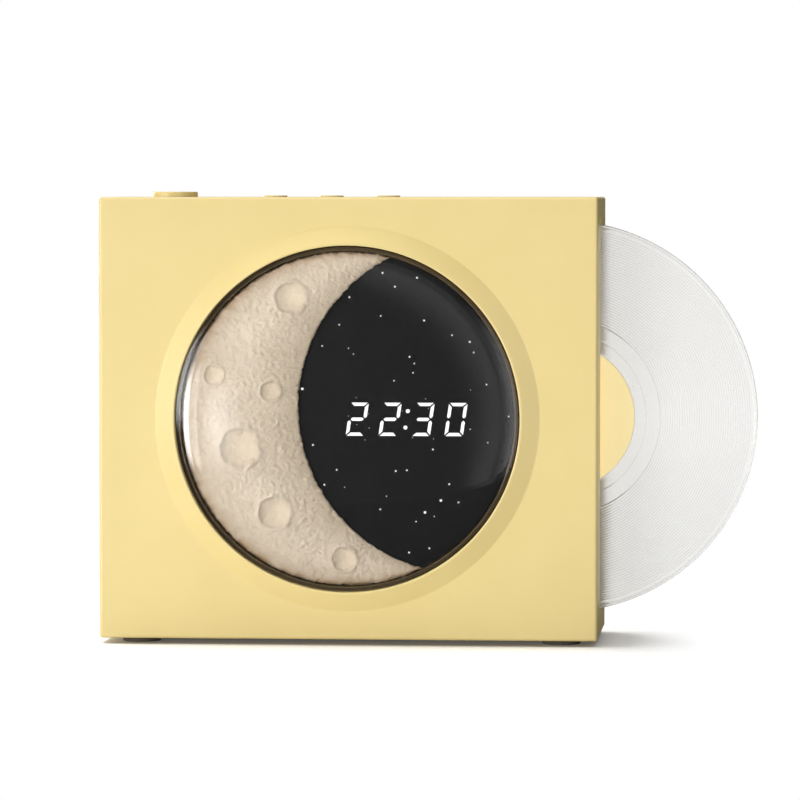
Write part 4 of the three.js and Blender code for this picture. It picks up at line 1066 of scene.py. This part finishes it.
def cover_loops():
    edge = 0.3
    loops = []
    for y, inset in ((COVER_FRONT, 0), (COVER_REAR - edge, 0), (COVER_REAR - edge * 0.3, edge * 0.3),
                     (COVER_REAR, edge)):
        grow = WALL + GAP + inset
        points = rounded_rectangle(CASE_WIDTH / 2 - grow, CASE_HEIGHT / 2 - grow, radius=1.0, arc_steps=6)
        loops.append(section(points, y))
    return loops


cover = mesh_object("back_cover", lofted(cover_loops()))
carve(cover, hole_back(*SPEAKER, SOUND_HOLE, COVER_FRONT - PAST, COVER_REAR, flare=0, sides=128))
socket_flare = 0.4
socket_hole = (
    (COVER_FRONT - PAST, GAP), (COVER_REAR - socket_flare, GAP), (COVER_REAR + OVERLAP, GAP + socket_flare),
    (COVER_REAR + PAST, GAP + socket_flare),
)
carve(
    cover,
    hole_back(*SPEAKER, GRILLE_RADIUS + GAP, GRILLE_FRONT, COVER_REAR, flare=0.2, sides=128),
    lofted(stadium_loops(socket_hole)),
    *[hole_back(x, z, SINK_RADIUS, SINK_FLOOR, COVER_REAR, flare=0.2, sides=40) for x, z in COVER_POSTS],
)
dress(cover, "yellow_plastic", nodes=["rear_cover"], crease=28)


def grille_holes():
    places = [SPEAKER]
    for ring in range(1, GRILLE_RINGS + 1):
        for k in range(6 * ring):
            angle = 2 * math.pi * k / (6 * ring)
            reach = ring * GRILLE_STEP
            places.append((SPEAKER[0] + reach * math.cos(angle), SPEAKER[1] + reach * math.sin(angle)))
    sizes = GRILLE_HOLE, GRILLE_FRONT - PAST, GRILLE_REAR
    return [hole_back(x, z, *sizes, flare=0.25, sides=28) for x, z in places]


grille_profile = plate(GRILLE_RADIUS, GRILLE_FRONT, GRILLE_REAR, edge=0.25, steps=4)
grille = mesh_object("sound_grille", turned(grille_profile, 128, "Y", (SPEAKER[0], 0, SPEAKER[1])))
carve(grille, *grille_holes())
dress(grille, "yellow_plastic", nodes=["speaker_grille"], crease=28)


def cross_slot(x, z):
    half, reach, floor = 0.3, 1.55, SINK_FLOOR + 0.6
    shapes = []
    for half_x, half_z in ((half, reach), (reach, half)):
        loops = []
        for y, share in ((floor, 0.7), (SINK_FLOOR + 2, 1.0)):
            points = rounded_rectangle(half_x * share, half_z * share, radius=0.08, arc_steps=2)
            loops.append(section(points, y, x, z))
        shapes.append(lofted(loops))
    return shapes


for number, (x, z) in enumerate(COVER_POSTS, start=1):
    head = 2.6
    profile = softened([(0, SINK_FLOOR), (head, SINK_FLOOR), (head, SINK_FLOOR + 0.65),
                        (head * 0.6, SINK_FLOOR + 1.22), (0, SINK_FLOOR + 1.3)], radius=0.3, steps=4)
    screw = mesh_object(f"cover_screw_{number}", turned(profile, 48, "Y", (x, 0, z)))
    for slot_shape in cross_slot(x, z):
        carve(screw, slot_shape)
    dress(screw, "screw_steel", nodes=[f"rear_screw_{number}"], crease=35)

shell_wall = 0.35
socket_levels = (
    (SOCKET_FRONT, 0), (SOCKET_REAR - 0.1, 0), (SOCKET_REAR, -0.1), (SOCKET_REAR, -shell_wall + 0.1),
    (SOCKET_REAR - 0.15, -shell_wall), (SOCKET_FRONT + 1.2, -shell_wall),
)
socket = mesh_object("charge_socket", lofted(stadium_loops(socket_levels)))
dress(socket, "plated_steel", nodes=["usb_c_socket"], crease=40)


def socket_block(half_x, half_z, y0, y1, x=0.0, z=0.0):
    edge = 0.12
    loops = []
    for y, inset in ((y0, 0), (y1 - edge, 0), (y1, edge)):
        points = rounded_rectangle(half_x - inset, half_z - inset * 0.5, radius=0.05, arc_steps=2)
        loops.append(section(points, y, SOCKET_PLACE[0] + x, SOCKET_PLACE[1] + z))
    return lofted(loops)


tongue = mesh_object("socket_tongue", socket_block(*TONGUE_HALF, SOCKET_FRONT + 1.1, SOCKET_REAR - 1.2))
dress(tongue, "black_plastic", crease=40)
contact_places = [
    (CONTACT_PITCH * (k - (CONTACT_COUNT - 1) / 2), sign * CONTACT_RISE)
    for sign in (-1, 1) for k in range(CONTACT_COUNT)
]
contacts = mesh_object("socket_contacts", *[
    socket_block(*CONTACT_HALF, SOCKET_FRONT + 2, SOCKET_REAR - 1.6, x, z) for x, z in contact_places
])
dress(contacts, "plated_steel", crease=40, look="contact_gold")


# Floor, background, lamps and camera

TARGET = placed(0, 0, CASE_MIDDLE)


def towards(left, up):
    """Direction from the window, as an angle left of straight ahead and an angle up."""
    a, e = math.radians(left), math.radians(up)
    return Vector((-math.sin(a) * math.cos(e), -math.cos(a) * math.cos(e), math.sin(e)))


def floor():
    """A round pale floor that fades into the white background, with a painted shadow where it is closed in."""
    rings = [(FLOOR_RADIUS * (k / 12) ** 1.4, -FOOT_HEIGHT) for k in range(13)]
    piece = mesh_object("floor", turned(rings, 96, "Z", (0, CASE_DEPTH / 2, 0)))
    look = Look("pale_floor", Roughness=0.9, Specular_IOR_Level=0.1, Emission_Color=(1, 1, 1, 1))
    path = look.node("LightPath").outputs
    x, y, _ = look.parts(look.place)
    side = SHIFT.x + CASE_WIDTH / 2

    def past_side(reach):
        return look.ranged(x, 0, 1, *[(side + distance) * MM for distance in reach])

    seen = look.seen(path, FLOOR_SHEEN, look.ranged(y, 0, 1, -0.03, 0.03), FLOOR_BOUNCES)
    from_middle = look.measured("LENGTH", look.place)
    outside = look.ranged(from_middle, 0, 1, *[distance * MM for distance in FLOOR_FADE])
    far = look.product(seen, look.larger(outside, past_side(SIDE_FADE)))
    occlusion = look.node("AmbientOcclusion")
    occlusion.inputs["Distance"].default_value = FLOOR_SHADE * MM
    open_sky = occlusion.outputs["AO"]
    bounce = look.mixed(past_side(SIDE_DIM), FLOOR_BOUNCE, FLOOR_BOUNCE_DIM)
    unseen = look.mixed(path["Is Glossy Ray"], bounce, FLOOR_IN_GLOSS)
    # Painted shadow: the floor's colour darkens where ambient occlusion finds it closed in
    painted_shadow_or_pale = look.mixed(look.ranged(open_sky, 0, 1, 0.1, 0.5), FLOOR_PAINTED_SHADOW, FLOOR_PALE)
    look.set("Base Color", look.mixed(far, look.mixed(seen, unseen, painted_shadow_or_pale), (0, 0, 0)))
    in_glass = look.product(path["Is Transmission Ray"], FLOOR_GLOW_IN_GLASS)
    glow = look.product(look.larger(path["Is Camera Ray"], in_glass), FLOOR_GLOW)
    # Painted shadow in the floor's own glow too, which dims where it is closed in
    near = look.product(glow, look.ranged(open_sky, 0.28, 1, 0.3, 0.95))
    look.set("Emission Strength", look.filled(far, near))
    piece.data.materials.append(look.material)


def background():
    """White where the camera, glass and gloss see past the object; a dimmer studio in front lights it."""
    world = bpy.data.worlds.new("studio")
    bpy.context.scene.world = world
    world.use_nodes = True
    tree = Tree(world.node_tree)
    tree.nodes.clear()
    output = tree.node("OutputWorld")
    shader = tree.node("Background")
    direction = tree.node("TexCoord").outputs["Generated"]
    x, y, z = tree.parts(direction)

    def eased(value, start, end, low, high):
        return tree.ranged(value, low, high, start, end, smooth=True)

    behind = eased(y, 0.0, 0.3, 0, 1)
    seen = tree.seen(tree.node("LightPath").outputs, eased(z, 0.3, 0.6, 0, 1), behind, BACKDROP_BOUNCES)
    left = eased(x, -0.5, -0.8, 0, STUDIO_LEFT)
    above = eased(z, 0.4, 0.8, STUDIO, STUDIO + STUDIO_ABOVE)
    low_behind = tree.product(behind, eased(z, 0.05, 0.3, 1, 0))
    shade = tree.product(eased(low_behind, 0, 1, 1, 0.25), eased(x, 0.35, 0.7, 1, 0.4))
    turn = tree.measured("DOT_PRODUCT", direction, towards(*ARC_AXIS))
    inner, outer = [[math.cos(math.radians(angle)) for angle in edge] for edge in ARC_EDGES]
    band = tree.product(eased(turn, *inner, 0, 1), eased(turn, *outer, 0, 1))
    up_right = tree.measured("DOT_PRODUCT", direction, (1, 0, 0.5))
    arc = tree.product(band, eased(up_right, 0.0, 0.12, 0, ARC_LIGHT))
    room = tree.maths("ADD", tree.product(tree.maths("ADD", left, above), shade), arc)
    shader.inputs["Color"].default_value = (1, 1, 1, 1)
    tree.links.new(tree.filled(seen, room), shader.inputs["Strength"])
    tree.links.new(shader.outputs["Background"], output.inputs["Surface"])


def softbox(name, left, up, distance, width, height, power, soft):
    """A rectangular lamp that looks at the window, whose light fades towards the edges of its face."""
    direction = towards(left, up)
    data = bpy.data.lights.new(name, "AREA")
    data.shape = "RECTANGLE"
    data.size = width
    data.size_y = height
    data.energy = power
    data.use_nodes = True
    tree = Tree(data.node_tree)
    across, along, _ = tree.parts(tree.node("NewGeometry").outputs["Parametric"])
    fades = []
    for place in (across, along):
        from_middle = tree.maths("ABSOLUTE", tree.maths("SUBTRACT", place, 0.5))
        fades.append(tree.ranged(from_middle, 0, 1, 0.5, 0.5 - soft / 2, smooth=True))
    tree.links.new(tree.product(*fades), tree.nodes["Emission"].inputs["Strength"])
    holder = bpy.data.objects.new(name, data)
    holder.location = TARGET + direction * distance
    holder.rotation_euler = (-direction).to_track_quat("-Z", "Y").to_euler()
    holder.visible_camera = False
    bpy.context.scene.collection.objects.link(holder)
    return holder


def skylight(left, up, spread, power):
    """A distant lamp, which lights the floor evenly."""
    data = bpy.data.lights.new("skylight", "SUN")
    data.angle = math.radians(spread)
    data.energy = power
    holder = bpy.data.objects.new("skylight", data)
    holder.rotation_euler = (-towards(left, up)).to_track_quat("-Z", "Y").to_euler()
    bpy.context.scene.collection.objects.link(holder)


def camera():
    yaw, pitch = math.radians(CAMERA_YAW), math.radians(CAMERA_PITCH)
    forward = Vector((-math.cos(pitch) * math.sin(yaw), math.cos(pitch) * math.cos(yaw), math.sin(pitch)))
    data = bpy.data.cameras.new("camera")
    data.sensor_width = SENSOR
    data.lens = CAMERA_FOCAL / IMAGE_SIZE * SENSOR
    data.clip_end = 100
    holder = bpy.data.objects.new("camera", data)
    holder.location = placed(*CAMERA_PLACE)
    holder.rotation_euler = forward.to_track_quat("-Z", "Y").to_euler()
    bpy.context.scene.collection.objects.link(holder)
    bpy.context.scene.camera = holder


floor()
background()
lamps = {lamp[0]: softbox(*lamp) for lamp in LAMPS}
lamps["rear"].visible_transmission = False
skylight(*SKYLIGHT)
camera()

bpy.context.scene.view_settings.view_transform = "Standard"
